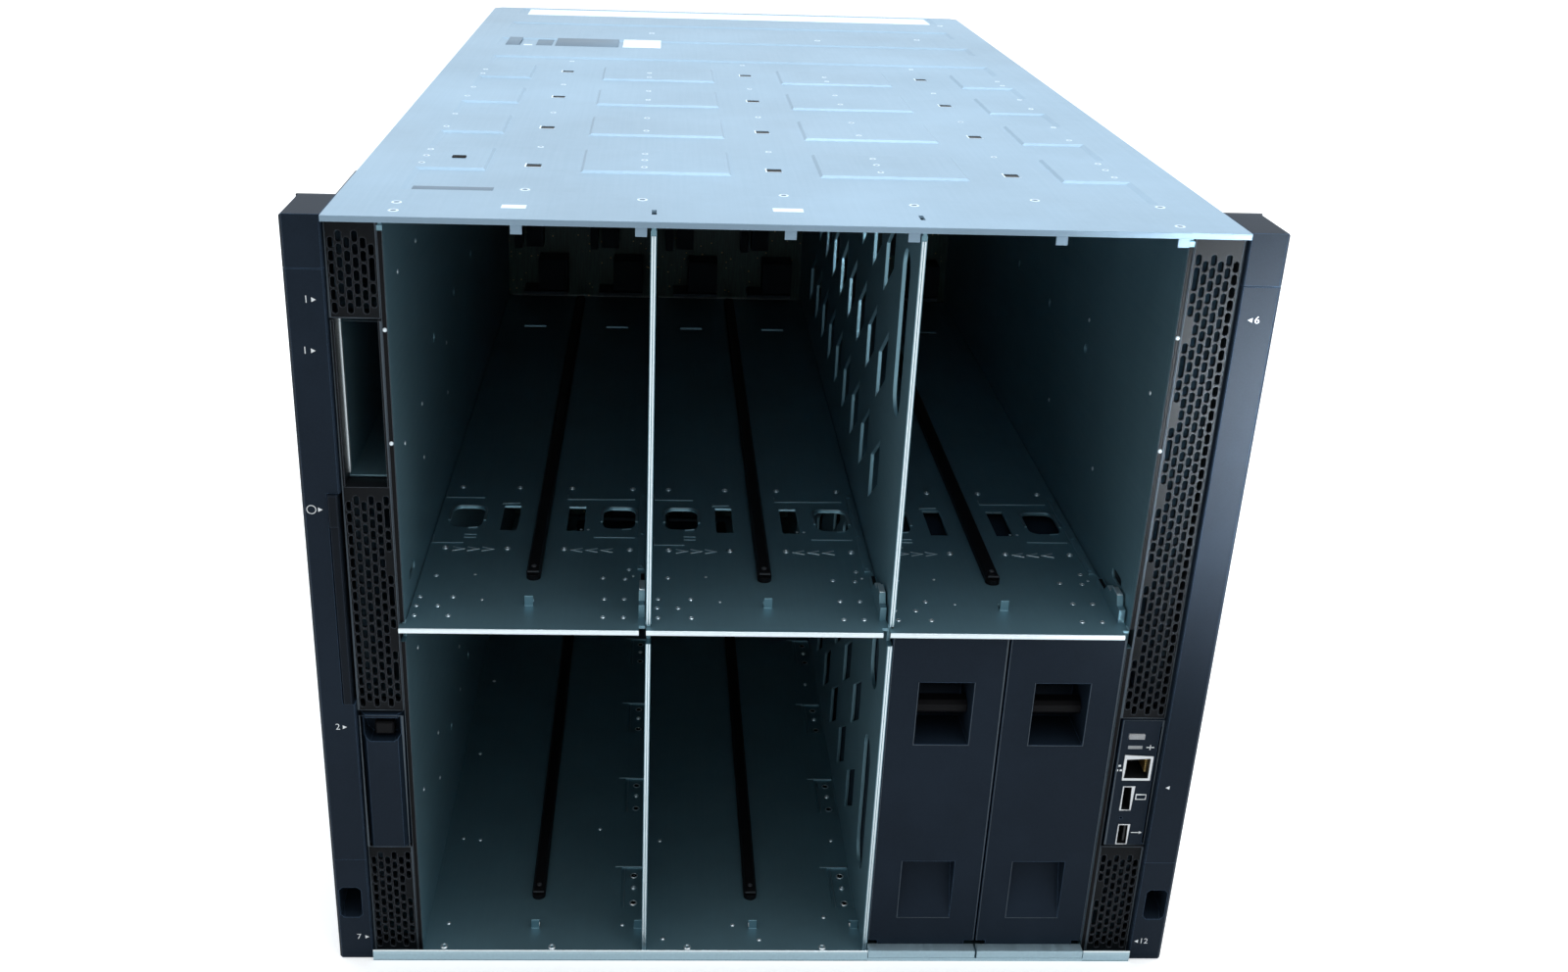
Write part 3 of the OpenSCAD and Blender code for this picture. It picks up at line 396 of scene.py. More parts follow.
def number(name, digits, where, size, turn, body, material):
    """A printed number, as a thin mesh. turn stands it up on the wanted face."""
    curve = bpy.data.curves.new(name, "FONT")
    curve.body = digits
    curve.size = size * MM
    curve.extrude = 0.00003
    curve.offset = -0.00004
    curve.align_x = "CENTER"
    curve.align_y = "CENTER"
    text = bpy.data.objects.new(name + "_curve", curve)
    bpy.context.scene.collection.objects.link(text)
    bpy.context.view_layer.update()
    data = bpy.data.meshes.new_from_object(text.evaluated_get(
        bpy.context.evaluated_depsgraph_get()))
    bpy.data.objects.remove(text)
    data.transform(Matrix.Translation(where) @ turn.to_4x4())
    data.materials.clear()
    data.materials.append(material)
    made = bpy.data.objects.new(name, data)
    bpy.context.scene.collection.objects.link(made)
    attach(made, body)
    return made


def dress(nodes, material):
    """Gives CAD nodes a material."""
    for name in nodes:
        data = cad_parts[name].data
        data.materials.clear()
        data.materials.append(material)


FINISH = {}


def finish_of(key):
    return FINISH[key]


# ---- settings ----


class ChassisFinish(bpy.types.PropertyGroup):
    """Colours and polish of the materials."""

    zinc: bpy.props.FloatVectorProperty(
        name="Zinc sheet", description="Colour of the plated sheet", subtype="COLOR",
        size=3, min=0, max=1, default=(0.245, 0.355, 0.455))
    inner_zinc: bpy.props.FloatVectorProperty(
        name="Inner sheet", description="Colour of the sheet inside the bays",
        subtype="COLOR", size=3, min=0, max=1, default=(0.185, 0.325, 0.385))
    bezel: bpy.props.FloatVectorProperty(
        name="Bezel", description="Colour of the bezels and blanks", subtype="COLOR",
        size=3, min=0, max=1, default=(0.0095, 0.0160, 0.0260))
    grille: bpy.props.FloatVectorProperty(
        name="Grille", description="Colour of the grille mouldings", subtype="COLOR",
        size=3, min=0, max=1, default=(0.0070, 0.0080, 0.0095))
    polish: bpy.props.FloatProperty(
        name="Sheet roughness", description="Roughness of the plated sheet",
        min=0.1, max=0.9, default=0.42)
    # Scales the sheet's lightened edges: partly bare cut steel, partly a painted highlight.
    wear_and_highlight: bpy.props.FloatProperty(
        name="Edge wear", description="How bright the cut edges are", min=0, max=1,
        default=0.6)


class ChassisFixings(bpy.types.PropertyGroup):
    """Sizes of rivets and screws."""

    rivet: bpy.props.FloatProperty(
        name="Rivet", description="Radius of a rivet head in millimetres", min=0.5, max=4,
        default=1.9)
    screw: bpy.props.FloatProperty(
        name="Screw", description="Radius of a screw head in millimetres", min=1, max=5,
        default=2.7)
    rim: bpy.props.FloatProperty(
        name="Rim", description="Radius of the small pierced holes in millimetres", min=0.5,
        max=3, default=1.3)


class ChassisStage(bpy.types.PropertyGroup):
    """Camera and light."""

    lens: bpy.props.FloatProperty(
        name="Lens", description="Focal length of the camera", unit="CAMERA", min=10,
        max=200, default=34.29)
    key: bpy.props.FloatProperty(
        name="Key light", description="Power of the overhead light", subtype="POWER", min=0,
        max=2000, default=26)
    glance: bpy.props.FloatProperty(
        name="Low light", description="Power of the low light that catches the right ear",
        subtype="POWER", min=0, max=500, default=1.2)
    fill: bpy.props.FloatProperty(
        name="Dome", description="Brightness of the surroundings overhead", min=0, max=5,
        default=1.0)


# ---- operators ----


class CHASSIS_OT_materials(bpy.types.Operator):
    """Give every solid of the chassis its material"""

    bl_idname = "chassis.materials"
    bl_label = "Materials"

    def execute(self, context):
        f = context.scene.chassis_finish
        FINISH["zinc"] = sheet_metal("zinc", tuple(f.zinc), f.polish, f.wear_and_highlight, 0.3)
        FINISH["inner"] = sheet_metal("zinc_inner", tuple(f.inner_zinc), f.polish, f.wear_and_highlight)
        # A lighter copy of the inner zinc, for the lines along lances, window rims and sunken field
        # edges: painted highlight.
        FINISH["inner_edge_highlight"] = plated("edge_line_highlight", (0.36, 0.50, 0.56), 0.35)
        # A lighter copy of the zinc for the folded front lips, the cover edge and the blank sills:
        # painted highlight.
        FINISH["lip"] = plated("folded_lip_highlight", (0.50, 0.67, 0.75), 0.42)
        FINISH["socket"] = painted_metal("socket_shell", (0.012, 0.013, 0.015), 0.4)
        # Pale strips laid round the front faces of the mouldings and along the wall fronts: painted
        # highlight.
        FINISH["edge_highlight"] = moulded("painted_edge_highlight", (0.070, 0.088, 0.105), 0.45, 1300.0)
        FINISH["shade"] = painted_metal("dimple_shade", (0.10, 0.15, 0.20), 0.5)
        FINISH["supply"] = plated("supply_case", (0.40, 0.43, 0.45), 0.34)
        FINISH["plate"] = plain_ink("plain_plate", (0.62, 0.72, 0.80))
        FINISH["tab"] = moulded("tab", (0.006, 0.0085, 0.0125), 0.3, 1500.0, 0.7, 14.0)
        FINISH["bright"] = plated("bright_steel", (0.80, 0.88, 0.92), 0.28)
        FINISH["dark"] = painted_metal("dark_steel", (0.03, 0.033, 0.038), 0.45)
        FINISH["bezel"] = moulded("bezel", tuple(f.bezel), 0.42, 1500.0, 0.75, 13.0)
        FINISH["grille"] = moulded("grille", tuple(f.grille), 0.36, 1300.0, 0.9, 22.0)
        FINISH["black"] = moulded("black", (0.006, 0.006, 0.007), 0.36, 1600.0)
        FINISH["grey"] = moulded("grey_button", (0.34, 0.35, 0.36), 0.5, 1400.0)
        FINISH["plated"] = plated("plated", (0.60, 0.61, 0.62), 0.25)
        # A near-white copy of the zinc for the rolled front edges, the floor fold line and the sleeve's
        # edge strip: painted highlight.
        FINISH["edge"] = plated("rolled_edge_highlight", (0.84, 0.93, 0.96), 0.34)
        FINISH["pale"] = moulded("pale_connector", (0.10, 0.115, 0.125), 0.45, 1400.0)
        FINISH["board"] = board("board")
        FINISH["connector"] = moulded("connector", (0.03, 0.034, 0.038), 0.45, 1400.0)
        FINISH["ink"] = plain_ink("ink", (0.85, 0.88, 0.9))
        FINISH["pipe"] = light_pipe("light_pipe")
        FINISH["gold"] = plated("gold_contact", (0.75, 0.52, 0.2), 0.25)
        dress(["top_cover", "left_side", "right_side"], FINISH["zinc"])
        dress(["bay_wall_left", "bay_wall_right", "partition_left", "partition_right",
               "appliance_sleeves", "rear_cage", "base_pan"]
              + ["shelf_" + n for n in SHELVES]
              + ["shelf_latch_" + n for n in SHELVES], FINISH["inner"])
        dress(["rack_flanges", "rear_modules"], FINISH["dark"])
        dress(["floor_rails", "blank_latch_11", "blank_latch_12", "appliance_latch"]
              + ["shelf_rail_" + n for n in SHELVES]
              + ["fan_rotor_%d" % n for n in range(1, 11)], FINISH["black"])
        dress(["grille_left_top", "grille_left_mid", "grille_left_low", "grille_right_top",
               "grille_right_low", "fan_frames"], FINISH["grille"])
        dress(["appliance_blank", "blank_11", "blank_12", "front_panel", "left_ear",
               "right_ear", "ear_caps"], FINISH["bezel"])
        dress(["info_tab"], FINISH["tab"])
        dress(["uid_button"], FINISH["grey"])
        dress(["status_light"], FINISH["pipe"])
        dress(["front_ports"], FINISH["socket"])
        dress(["power_supply_%d" % n for n in range(1, 7)], FINISH["supply"])
        dress(["midplane"], FINISH["board"])
        dress(["midplane_connectors"], FINISH["connector"])
        return {"FINISHED"}


class CHASSIS_OT_cover_details(bpy.types.Operator):
    """Add the dimples (painted highlight rims round painted shade), the vents (painted shade with
    painted highlight edges), the marks and the rolled front edge of the top cover
    """

    bl_idname = "chassis.cover_details"
    bl_label = "Cover details"

    def execute(self, context):
        low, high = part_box("top_cover")
        top = high[2] / MM
        width = (high[0] - low[0]) / MM
        up = (0, 0, 1)
        rims = Shape()
        dimple_shades = Shape()
        big = ((-190, 28), (-189, 12), (-131, 64), (-71, 43), (1, 63), (65, 43), (131, 64),
               (192, 50), (190, 12), (197, 738), (71, 620), (-71, 640), (160, 640))
        small = [(x, 168 + 105 * k) for k in range(4) for x in (-131, 0, 131)]
        for k, steps in enumerate(((13, 31, 47), (14, 54), (19, 53), (12, 30))):
            small += [(x, 103 + 98.5 * k + d) for d in steps for x in (-71, 58, -191, 187)]
        for spots, r in ((big, 2.7), (small, 1.9)):
            for x, y in spots:
                level = self.level(x, y)
                # Each dimple is a pale ring, a painted highlight, round a dark dome, painted shade.
                rims.ring(at(x, y, level - 0.03), up, r * 0.6, r, 0.25)
                dimple_shades.dome(at(x, y, level - 0.1), up, r * 0.6, 0.2)
        rims.piece("cover_rim_highlights", "chassis", finish_of("plate"))
        dimple_shades.piece("cover_dimple_shades", "chassis", finish_of("shade"))
        self.plates("cover_plates", "plate", ((-187, 189, 744, 784), (-94, -63, 553, 597),
                                              (-139, -127, 20, 27), (-7, 8, 24, 31),
                                              (-175, -168, 557, 566)))
        self.plates("cover_strips", "shade", ((-189, -178, 553, 597), (-165, -152, 557, 593),
                                              (-149, -98, 553, 597), (-188, -147, 58, 67)))
        dark_fills = Shape()
        vent_highlights = Shape()
        flat = ((1, 0, 0), (0, 1, 0))
        for x in (-131, 0, 131):
            for k in range(4):
                y = 120 + 105 * k
                level = self.level(x - 8, y)
                # A black square sunk under each vent: painted shade; a pale line along its front and
                # left edges: painted highlight.
                dark_fills.block((x - 4.1, y - 4.1, level - 1.2), (x + 4.1, y + 4.1, level - 0.3),
                            0.1)
                vent_highlights.line([(4.6, -4.5), (-4.5, -4.5), (-4.5, 4.5)], at(x, y, level - 0.05),
                            *flat, 0.8, 0.2)
        # A raised black mark beside the vents, the cover's own colour.
        dark_fills.block((-176.5, 129, self.level(-173, 131) - 0.1),
                    (-169, 134, self.level(-173, 131) + 0.15), 0.6)
        dark_fills.piece("vent_shades_and_mark", "chassis", finish_of("black"))
        vent_highlights.piece("vent_edge_highlights", "chassis", finish_of("plate"))
        edge = Shape()
        edge.rolled(at(-width / 2 + 0.4, 0.35, top - 1.0), "X", width - 0.8, 1.9, 0.35)
        edge.piece("cover_edge", "chassis", finish_of("lip"))
        return {"FINISHED"}


    def level(self, x, y):
        """Height of the cover's surface in millimetres at a point seen from above."""
        start = at(x, y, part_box("top_cover")[1][2] / MM + 5)
        hit, place, _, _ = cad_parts["top_cover"].ray_cast(start, Vector((0, 0, -1)))
        return place.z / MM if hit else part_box("top_cover")[1][2] / MM

    def plates(self, name, finish, fields):
        """Thin bare plates on the cover, each in the plane of its own corner."""
        made = Shape()
        for x0, x1, y0, y1 in fields:
            top = max(self.level(x, y) for x in (x0, x1) for y in (y0, y1))
            made.block((x0, y0, top - 0.1), (x1, y1, top + 0.1), 0.04)
        made.piece(name, "chassis", finish_of(finish))


class CHASSIS_OT_front_edges(bpy.types.Operator):
    """Add the rolled edges along the front of the sheets, coloured as a painted highlight, with painted
    shade and highlight strips on the wall fronts
    """

    bl_idname = "chassis.front_edges"
    bl_label = "Front edges"

    def execute(self, context):
        shelf_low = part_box("shelf_1")[0][2] / MM
        shelf_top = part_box("shelf_rail_1")[0][2] / MM
        uprights = Shape()
        for node in ("partition_left", "partition_right"):
            low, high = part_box(node)
            x = (low[0] + high[0]) / 2 / MM
            front = (low[1] - FRONT) / MM
            for z0, z1 in ((low[2] / MM, shelf_low - 8), (shelf_top + 1, 433.5)):
                for side in (-0.62, 0.62):
                    uprights.rolled(at(x + side, front, z0), "Z", z1 - z0, 0.95, 0.4)
        uprights.piece("upright_edges", "chassis", finish_of("edge"))
        walls = Shape()
        shades = Shape()
        for node, side in (("bay_wall_left", 0), ("bay_wall_right", 1)):
            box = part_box(node)
            x = box[side][0] / MM + (1.4, -1.4)[side]
            front = (box[0][1] - FRONT) / MM
            for z0, z1 in ((2.5, shelf_low - 8), (shelf_top + 1, 433.5)):
                # A black strip down each wall front: painted shade; a pale line on each side of it:
                # painted highlight.
                shades.rolled(at(x, front, z0), "Z", z1 - z0, 2.8, 0.35)
                for side in (-1.15, 1.15):
                    walls.rolled(at(x + side, front - 0.1, z0), "Z", z1 - z0, 0.35, 0.35)
        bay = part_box("appliance_sleeves")
        walls.piece("wall_edge_highlights", "chassis", finish_of("edge_highlight"))
        shades.piece("wall_shades", "chassis", finish_of("black"))
        # A near-white strip on the sleeve's inner wall, standing for its curved edge catching light:
        # painted highlight.
        glow = Shape()
        glow.block((bay[0][0] / MM + 0.1, 16, 303), (bay[0][0] / MM + 1.6, 19, 388), 0.5)
        glow.piece("appliance_edge_highlight", "chassis", finish_of("edge"))
        for n in SHELVES:
            low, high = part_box("shelf_" + n)
            lip = Shape()
            lip.rolled(at(low[0] / MM, (low[1] - FRONT) / MM, (shelf_low + shelf_top) / 2), "X",
                       (high[0] - low[0]) / MM - 3.4, shelf_top - shelf_low, 0.7)
            lip.piece("shelf_edge_" + n, "shelf_body_" + n, finish_of("edge"))
        low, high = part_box("base_pan")
        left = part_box("blank_11")[0][0] / MM - 0.4
        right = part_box("blank_12")[1][0] / MM + 0.4
        foot = Shape()
        foot.block((left, -0.2, 0.2), (right, 0.3, 2.1), 0.15)
        # A near-white line along the floor's fold: painted highlight.
        fold_highlight = Shape()
        for start, stop in ((low[0] / MM, left), (right, high[0] / MM)):
            foot.rolled(at(start, 0.1, 3.4), "X", stop - start, 6.0, 0.5)
            fold_highlight.rolled(at(start, 0.1, 7.0), "X", stop - start, 1.2, 0.5)
        foot.piece("floor_edge", "chassis", finish_of("lip"))
        fold_highlight.piece("floor_fold_highlight", "chassis", finish_of("edge"))
        for n in ("11", "12"):
            low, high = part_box("blank_" + n)
            sill = Shape()
            sill.block((low[0] / MM, -0.2, 2.4), (high[0] / MM, (low[1] - FRONT) / MM + 0.3, 7.4),
                       0.15)
            sill.piece("blank_sill_" + n, "blank_body_" + n, finish_of("lip"))
        return {"FINISHED"}


class CHASSIS_OT_shelf_details(bpy.types.Operator):
    """Add the screws, rims and arrows of the three shelves, and the lances and window rims drawn as
    painted highlight lines
    """

    bl_idname = "chassis.shelf_details"
    bl_label = "Shelf details"

    def execute(self, context):
        size = context.scene.chassis_fixings
        up = (0, 0, 1)
        flat = ((1, 0, 0), (0, 1, 0))
        for n in SHELVES:
            low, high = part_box("shelf_rail_" + n)
            mid = (low[0] + high[0]) / 2 / MM
            top = low[2] / MM
            body = "shelf_body_" + n
            base = at(mid, 0, top)
            heads = Shape()
            for x in (-54, -18, 15, 53.5):
                for y in (94, 178.4):
                    heads.screw(at(mid + x, y, top), up, size.screw * 0.7, 0.7)
            for x, y in ((-60, 15), (-42, 15), (-60.5, 25.5), (-49, 25.5), (-60, 35.5),
                         (-42, 35.5), (-54.5, 60), (40.5, 15), (51.5, 15), (40.5, 35),
                         (51.5, 35), (39, 59), (51.5, 58), (53.5, 69.5)):
                heads.ring(at(mid + x, y, top), up, size.rim * 0.6, size.rim * 1.15, 0.3)
            for x, y in ((-26, 33), (-33, 61.6), (56, 62), (23.6, 120), (27.8, 120)):
                heads.dome(at(mid + x, y, top), up, 0.9, 0.3)
            heads.piece("shelf_heads_" + n, body, finish_of("bright"))
            # Light lines along the lances and round the rear of the windows: painted highlight.
            lances = Shape()
            for points in (((-63, 111), (-62.4, 101), (-44.7, 101)),
                           ((-63.5, 172), (-62.4, 163.5), (-38.7, 163)),
                           ((-45, 108), (-38, 108)), ((-45, 112), (-38, 112)),
                           ((31.6, 110), (56, 110)), ((13, 168), (13, 163), (55, 163)),
                           ((14.6, 151), (18.6, 151)), ((19.8, 151), (23.8, 151)),
                           ((-26.4, 154), (-26.4, 156), (-16, 156))):
                lances.line(points, base, *flat, 0.8, 0.3)
            for x in (-46, 46):
                lances.line(self.rim(x, 136, 10.6, 15.2, 6), base, *flat, 1.3, 0.5)
                lances.line(((x + 2, 120.6), (x + 7.5, 121.6)), base, *flat, 0.8, 0.4)
            lances.piece("shelf_lance_highlights_" + n, body, finish_of("inner_edge_highlight"))
            strip = Shape()
            strip.block((mid + 58.2, 69, top - 0.1), (mid + 62, 172, top + 0.9), 0.35)
            for y in (73, 114, 168):
                strip.dome(at(mid + 60.1, y, top + 0.85), up, 1.3, 0.6)
            strip.piece("shelf_strip_" + n, body, finish_of("inner"))
            arrows = Shape()
            for side, spots in ((-1, (-46.5, -38, -29.5)), (1, (22.5, 31.3, 40.1))):
                for x in spots:
                    tip = [(side * 3.2, 2.4), (-side * 3.2, 0), (side * 3.2, -2.4)]
                    arrows.line(tip, at(mid + x, 93, top), *flat, 0.55, 0.25)
            arrows.piece("shelf_arrows_" + n, body, finish_of("bright"))
            self.catch(n)
        return {"FINISHED"}

    def catch(self, n):
        """The folded tongue and the stop of a shelf's latch."""
        low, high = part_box("shelf_latch_" + n)
        x = (low[0] + high[0]) / 2 / MM
        top = high[2] / MM
        tongue = Shape()
        tongue.block((x - 1.5, 21.5, top - 0.2), (x + 1.5, 30.5, top + 0.6), 0.25)
        tongue.block((x - 1.5, 33.5, top - 4.2), (x + 1.5, 39.5, top - 3.4), 0.25)
        tongue.line([(-1.3, 0), (-1.3, 8)], at(x, 21.6, top + 0.6), (1, 0, 0), (0, 1, 0), 0.5, 0.3)
        tongue.piece("latch_tongue_" + n, "shelf_latch_body_" + n, finish_of("edge"))
        slot = Shape()
        slot.block((x - 1.0, 44.5, top - 9.3), (x + 1.0, 57, top - 8.7), 0.2)
        slot.piece("latch_slot_" + n, "shelf_latch_body_" + n, finish_of("black"))

    def rim(self, x, y, w, h, r):
        """The path of the painted highlight along the rear part of a window's rim: up one side, round
        the corners and down.
        """
        turns = [math.radians(a) for a in range(0, 91, 18)]
        rear = [(w - r + r * math.cos(a), h - r + r * math.sin(a)) for a in turns]
        path = [(w, -h * 0.35)] + rear + [(-a, b) for a, b in rear[::-1]] + [(-w, -h * 0.35)]
        return [(x + a, y + b) for a, b in path]


class CHASSIS_OT_floor_details(bpy.types.Operator):
    """Add the rivets and screws of the floor and of the bay walls"""

    bl_idname = "chassis.floor_details"
    bl_label = "Floor and wall details"

    def execute(self, context):
        size = context.scene.chassis_fixings
        up = (0, 0, 1)
        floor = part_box("floor_rails")[0][2] / MM
        left = (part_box("bay_wall_left")[0][0]) / MM + 2.4
        right = (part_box("bay_wall_right")[1][0]) / MM - 2.4
        made = Shape()
        bays = {-130: ((-52, 29), (-52, 9.5), (11, 9), (52, 28), (-53, 109), (-53, 203),
                       (-53, 298), (-42, 107.5), (35, 119)),
                0: ((-12, 28), (-39.4, 9), (40.4, 9), (-56, 107.4), (56, 108.2), (55.5, 297),
                    (-54, 16), (3.4, 15.3), (44, 35)),
                130: ((-52, 29), (-40, 9), (40, 9), (52, 28), (-53, 109), (-53, 203))}
        for mid, spots in bays.items():
            for x, y in spots:
                if y < 12:
                    made.ring(at(mid + x, y, floor), up, 1.0, 2.3, 0.6)
                else:
                    made.dome(at(mid + x, y, floor), up, size.rivet * 0.7, 0.7)
            for k in range(5):
                y = 62.3 + 93.8 * k
                made.screw(at(mid + 58, y, floor - 0.9), up, size.screw * 0.62, 0.8)
                for step in (-13.8, 11.6):
                    made.ring(at(mid + 58, y + step, floor - 0.9), up, 1.7, 2.5, 0.3)
        for rise in (0, 218.5):
            for y, z in ((101, 184), (43, 184), (97, 91), (38, 92), (198, 92), (195, 60),
                         (95, 59)):
                made.dome(at(left, y, z + rise), (1, 0, 0), size.rivet * 0.7, 0.6)
            for y, z in ((106, 53), (214, 54), (30, 130), (150, 130)):
                made.dome(at(right, y, z + rise), (-1, 0, 0), size.rivet * 0.7, 0.6)
        # Small bright domes on the wall hems where glints show: painted highlight.
        for x, z in ((left - 1, 384), (left - 1, 324), (right + 1, 387), (right + 1, 326)):
            made.dome(at(x, 5.7, z), (0, -1, 0), 1.2, 0.9)
        made.piece("bay_rivets", "chassis", finish_of("bright"))
        self.recesses(floor)
        self.rail_tips()
        self.guide_slots(rise=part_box("shelf_rail_1")[0][2] / MM)
        return {"FINISHED"}

    def rail_tips(self):
        """The screw and the stop at the front end of each guide rail."""
        for n in SHELVES:
            low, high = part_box("shelf_rail_" + n)
            self.tip("shelf_rail_tip_" + n, "shelf_body_" + n, low, high,
                     ((low[0] + high[0]) / 2 / MM,))
        low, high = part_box("floor_rails")
        self.tip("floor_rail_tips", "chassis", low, high,
                 [(low[0] + high[0]) / 2 / MM + k * 130 for k in (-1, 0, 1)])

    def tip(self, name, body, low, high, spots):
        front = (low[1] - FRONT) / MM
        made = Shape()
        for x in spots:
            made.screw(at(x, front + 8, high[2] / MM), (0, 0, 1), 1.5, 0.6)
            made.block((x - 3.2, front + 0.8, high[2] / MM - 0.3),
                       (x + 3.2, front + 2.0, high[2] / MM + 0.5), 0.3)
        made.piece(name, body, finish_of("dark"))

    def recesses(self, floor):
        """Painted highlight lines along the rear and side edges of the sunken fields beside the rails,
        and the fields' dark plates.
        """
        rims = Shape()
        plates = Shape()
        flat = ((1, 0, 0), (0, 1, 0))
        for mid in (-130, 0, 130):
            for k in range(5):
                y = 43.7 + 93.8 * k
                rims.line([(46, 37.9), (63, 37.9)], at(mid, y, floor), *flat, 1.0, 0.25)
                rims.line([(52.2, 0), (52.2, 37)], at(mid, y, floor), *flat, 0.4, 0.15)
                for step in (5, 18.6, 30.4):
                    plates.ring(at(mid + 58, y + step, floor - 0.85), (0, 0, 1), 0.1, 1.5, 0.1)
        rims.piece("floor_rim_highlights", "chassis", finish_of("inner_edge_highlight"))
        plates.piece("floor_sockets", "chassis", finish_of("black"))

    def guide_slots(self, rise):
        """Black strips set in the short slots of the bay walls: painted shade."""
        dark_fills = Shape()
        for node, side in (("bay_wall_left", 0), ("bay_wall_right", 1)):
            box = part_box(node)
            x = box[side][0] / MM
            x += (0.8, -0.8)[side]
            dark_fills.block((x - 0.3, 27, rise + 11), (x + 0.3, 50, rise + 19), 0.1)
        dark_fills.piece("slot_shades", "chassis", finish_of("black"))


class CHASSIS_OT_midplane_details(bpy.types.Operator):
    """Add the faces and slots of the connectors and the screws of the midplane"""

    bl_idname = "chassis.midplane_details"
    bl_label = "Midplane details"

    def execute(self, context):
        front = (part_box("midplane_connectors")[0][1] - FRONT) / MM
        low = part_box("midplane_connectors")[0][2] / MM + 0.5
        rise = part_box("shelf_rail_1")[0][2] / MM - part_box("floor_rails")[0][2] / MM
        across = (Vector((1, 0, 0)), Vector((0, 0, 1)))
        faces = Shape()
        slots = Shape()
        for i in range(6):
            for z in (low, low + rise):
                x = (i - 3) * PITCH / MM / 2
                for x0, x1, y, z0, z1 in ((29, 54, 4, 4, 31), (18.5, 33, 10, 41, 60),
                                          (9, 15, 4, 41, 60)):
                    face = at(x, front + y, z)
                    loop = [(x0 + 0.9, z0 + 0.9), (x1 - 0.9, z0 + 0.9), (x1 - 0.9, z1 - 0.9),
                            (x0 + 0.9, z1 - 0.9), (x0 + 0.9, z0 + 0.9)]
                    faces.line(loop, face, *across, 1.4, 0.5)
                    columns = max(1, round((x1 - x0) / 7))
                    for c in range(columns):
                        for k in range(5):
                            a = x0 + (c + 0.5) * (x1 - x0) / columns
                            b = z0 + (k + 0.5) * (z1 - z0) / 5
                            slots.line([(a - 1.3, b), (a + 1.3, b)], face, *across, 1.6, 0.35)
                bar = at(x, front, z)
                faces.line([(16.4, 1.2), (53.6, 1.2)], bar, *across, 2.6, 0.5)
                for a in (12, 58):
                    faces.screw(at(x + a, front + 28, z + 1), (0, -1, 0), 1.5, 0.8)
        faces.piece("connector_faces", "chassis", finish_of("pale"))
        slots.piece("connector_slots", "chassis", finish_of("black"))
        return {"FINISHED"}


class CHASSIS_OT_outlines(bpy.types.Operator):
    """Add the pale lines round the front faces of the mouldings: painted highlights"""

    bl_idname = "chassis.outlines"
    # The label below names these painted highlight lines.
    bl_label = "Rubbed edges"

    def execute(self, context):
        fixed = Shape()
        for node in ("grille_left_top", "grille_left_mid", "grille_left_low",
                     "grille_right_top", "grille_right_low", "front_panel"):
            self.frame(fixed, node, 0.5, 0.35)
        fixed.piece("painted_edge_highlights", "chassis", finish_of("edge_highlight"))
        for n in ("11", "12"):
            node = "blank_" + n
            made = Shape()
            low, high, face = self.face(node)
            foot = low[2] + 8
            made.line([(low[0] + 0.5, foot), (low[0] + 0.5, high[2] - 0.5),
                       (high[0] - 0.5, high[2] - 0.5), (high[0] - 0.5, foot)],
                      at(0, face, 0), (1, 0, 0), (0, 0, 1), 0.28, 0.15)
            mid = (low[0] + high[0]) / 2
            for z, sides in ((high[2] - 48.5, 3), (low[2] + 45, 2)):
                path = [(15.5, 20.3), (15.5, -20.3), (-15.5, -20.3), (-15.5, 20.3)]
                made.line([(mid + a, z + b) for a, b in path[3 - sides:]],
                          at(0, face, 0), (1, 0, 0), (0, 0, 1), 0.3, 0.15)
            made.piece("blank_edge_highlights_" + n, "blank_body_" + n, finish_of("edge_highlight"))
        made = Shape()
        self.frame(made, "appliance_blank", 0.5, 0.4)
        made.piece("appliance_blank_highlights", "appliance_blank_body", finish_of("edge_highlight"))
        return {"FINISHED"}

    def face(self, node):
        """A node's low and high corners in millimetres, and the depth of its front face."""
        low, high = ([c / MM for c in corner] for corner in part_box(node))
        return low, high, (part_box(node)[0][1] - FRONT) / MM - 0.03

    def frame(self, made, node, inset, width):
        """A thin line round a node's front face."""
        low, high, face = self.face(node)
        a, b, c, d = low[0] + inset, high[0] - inset, low[2] + inset, high[2] - inset
        made.line([((a + b) / 2, c), (a, c), (a, d), (b, d), (b, c), ((a + b) / 2, c)],
                  at(0, face, 0), (1, 0, 0), (0, 0, 1), width, 0.15)


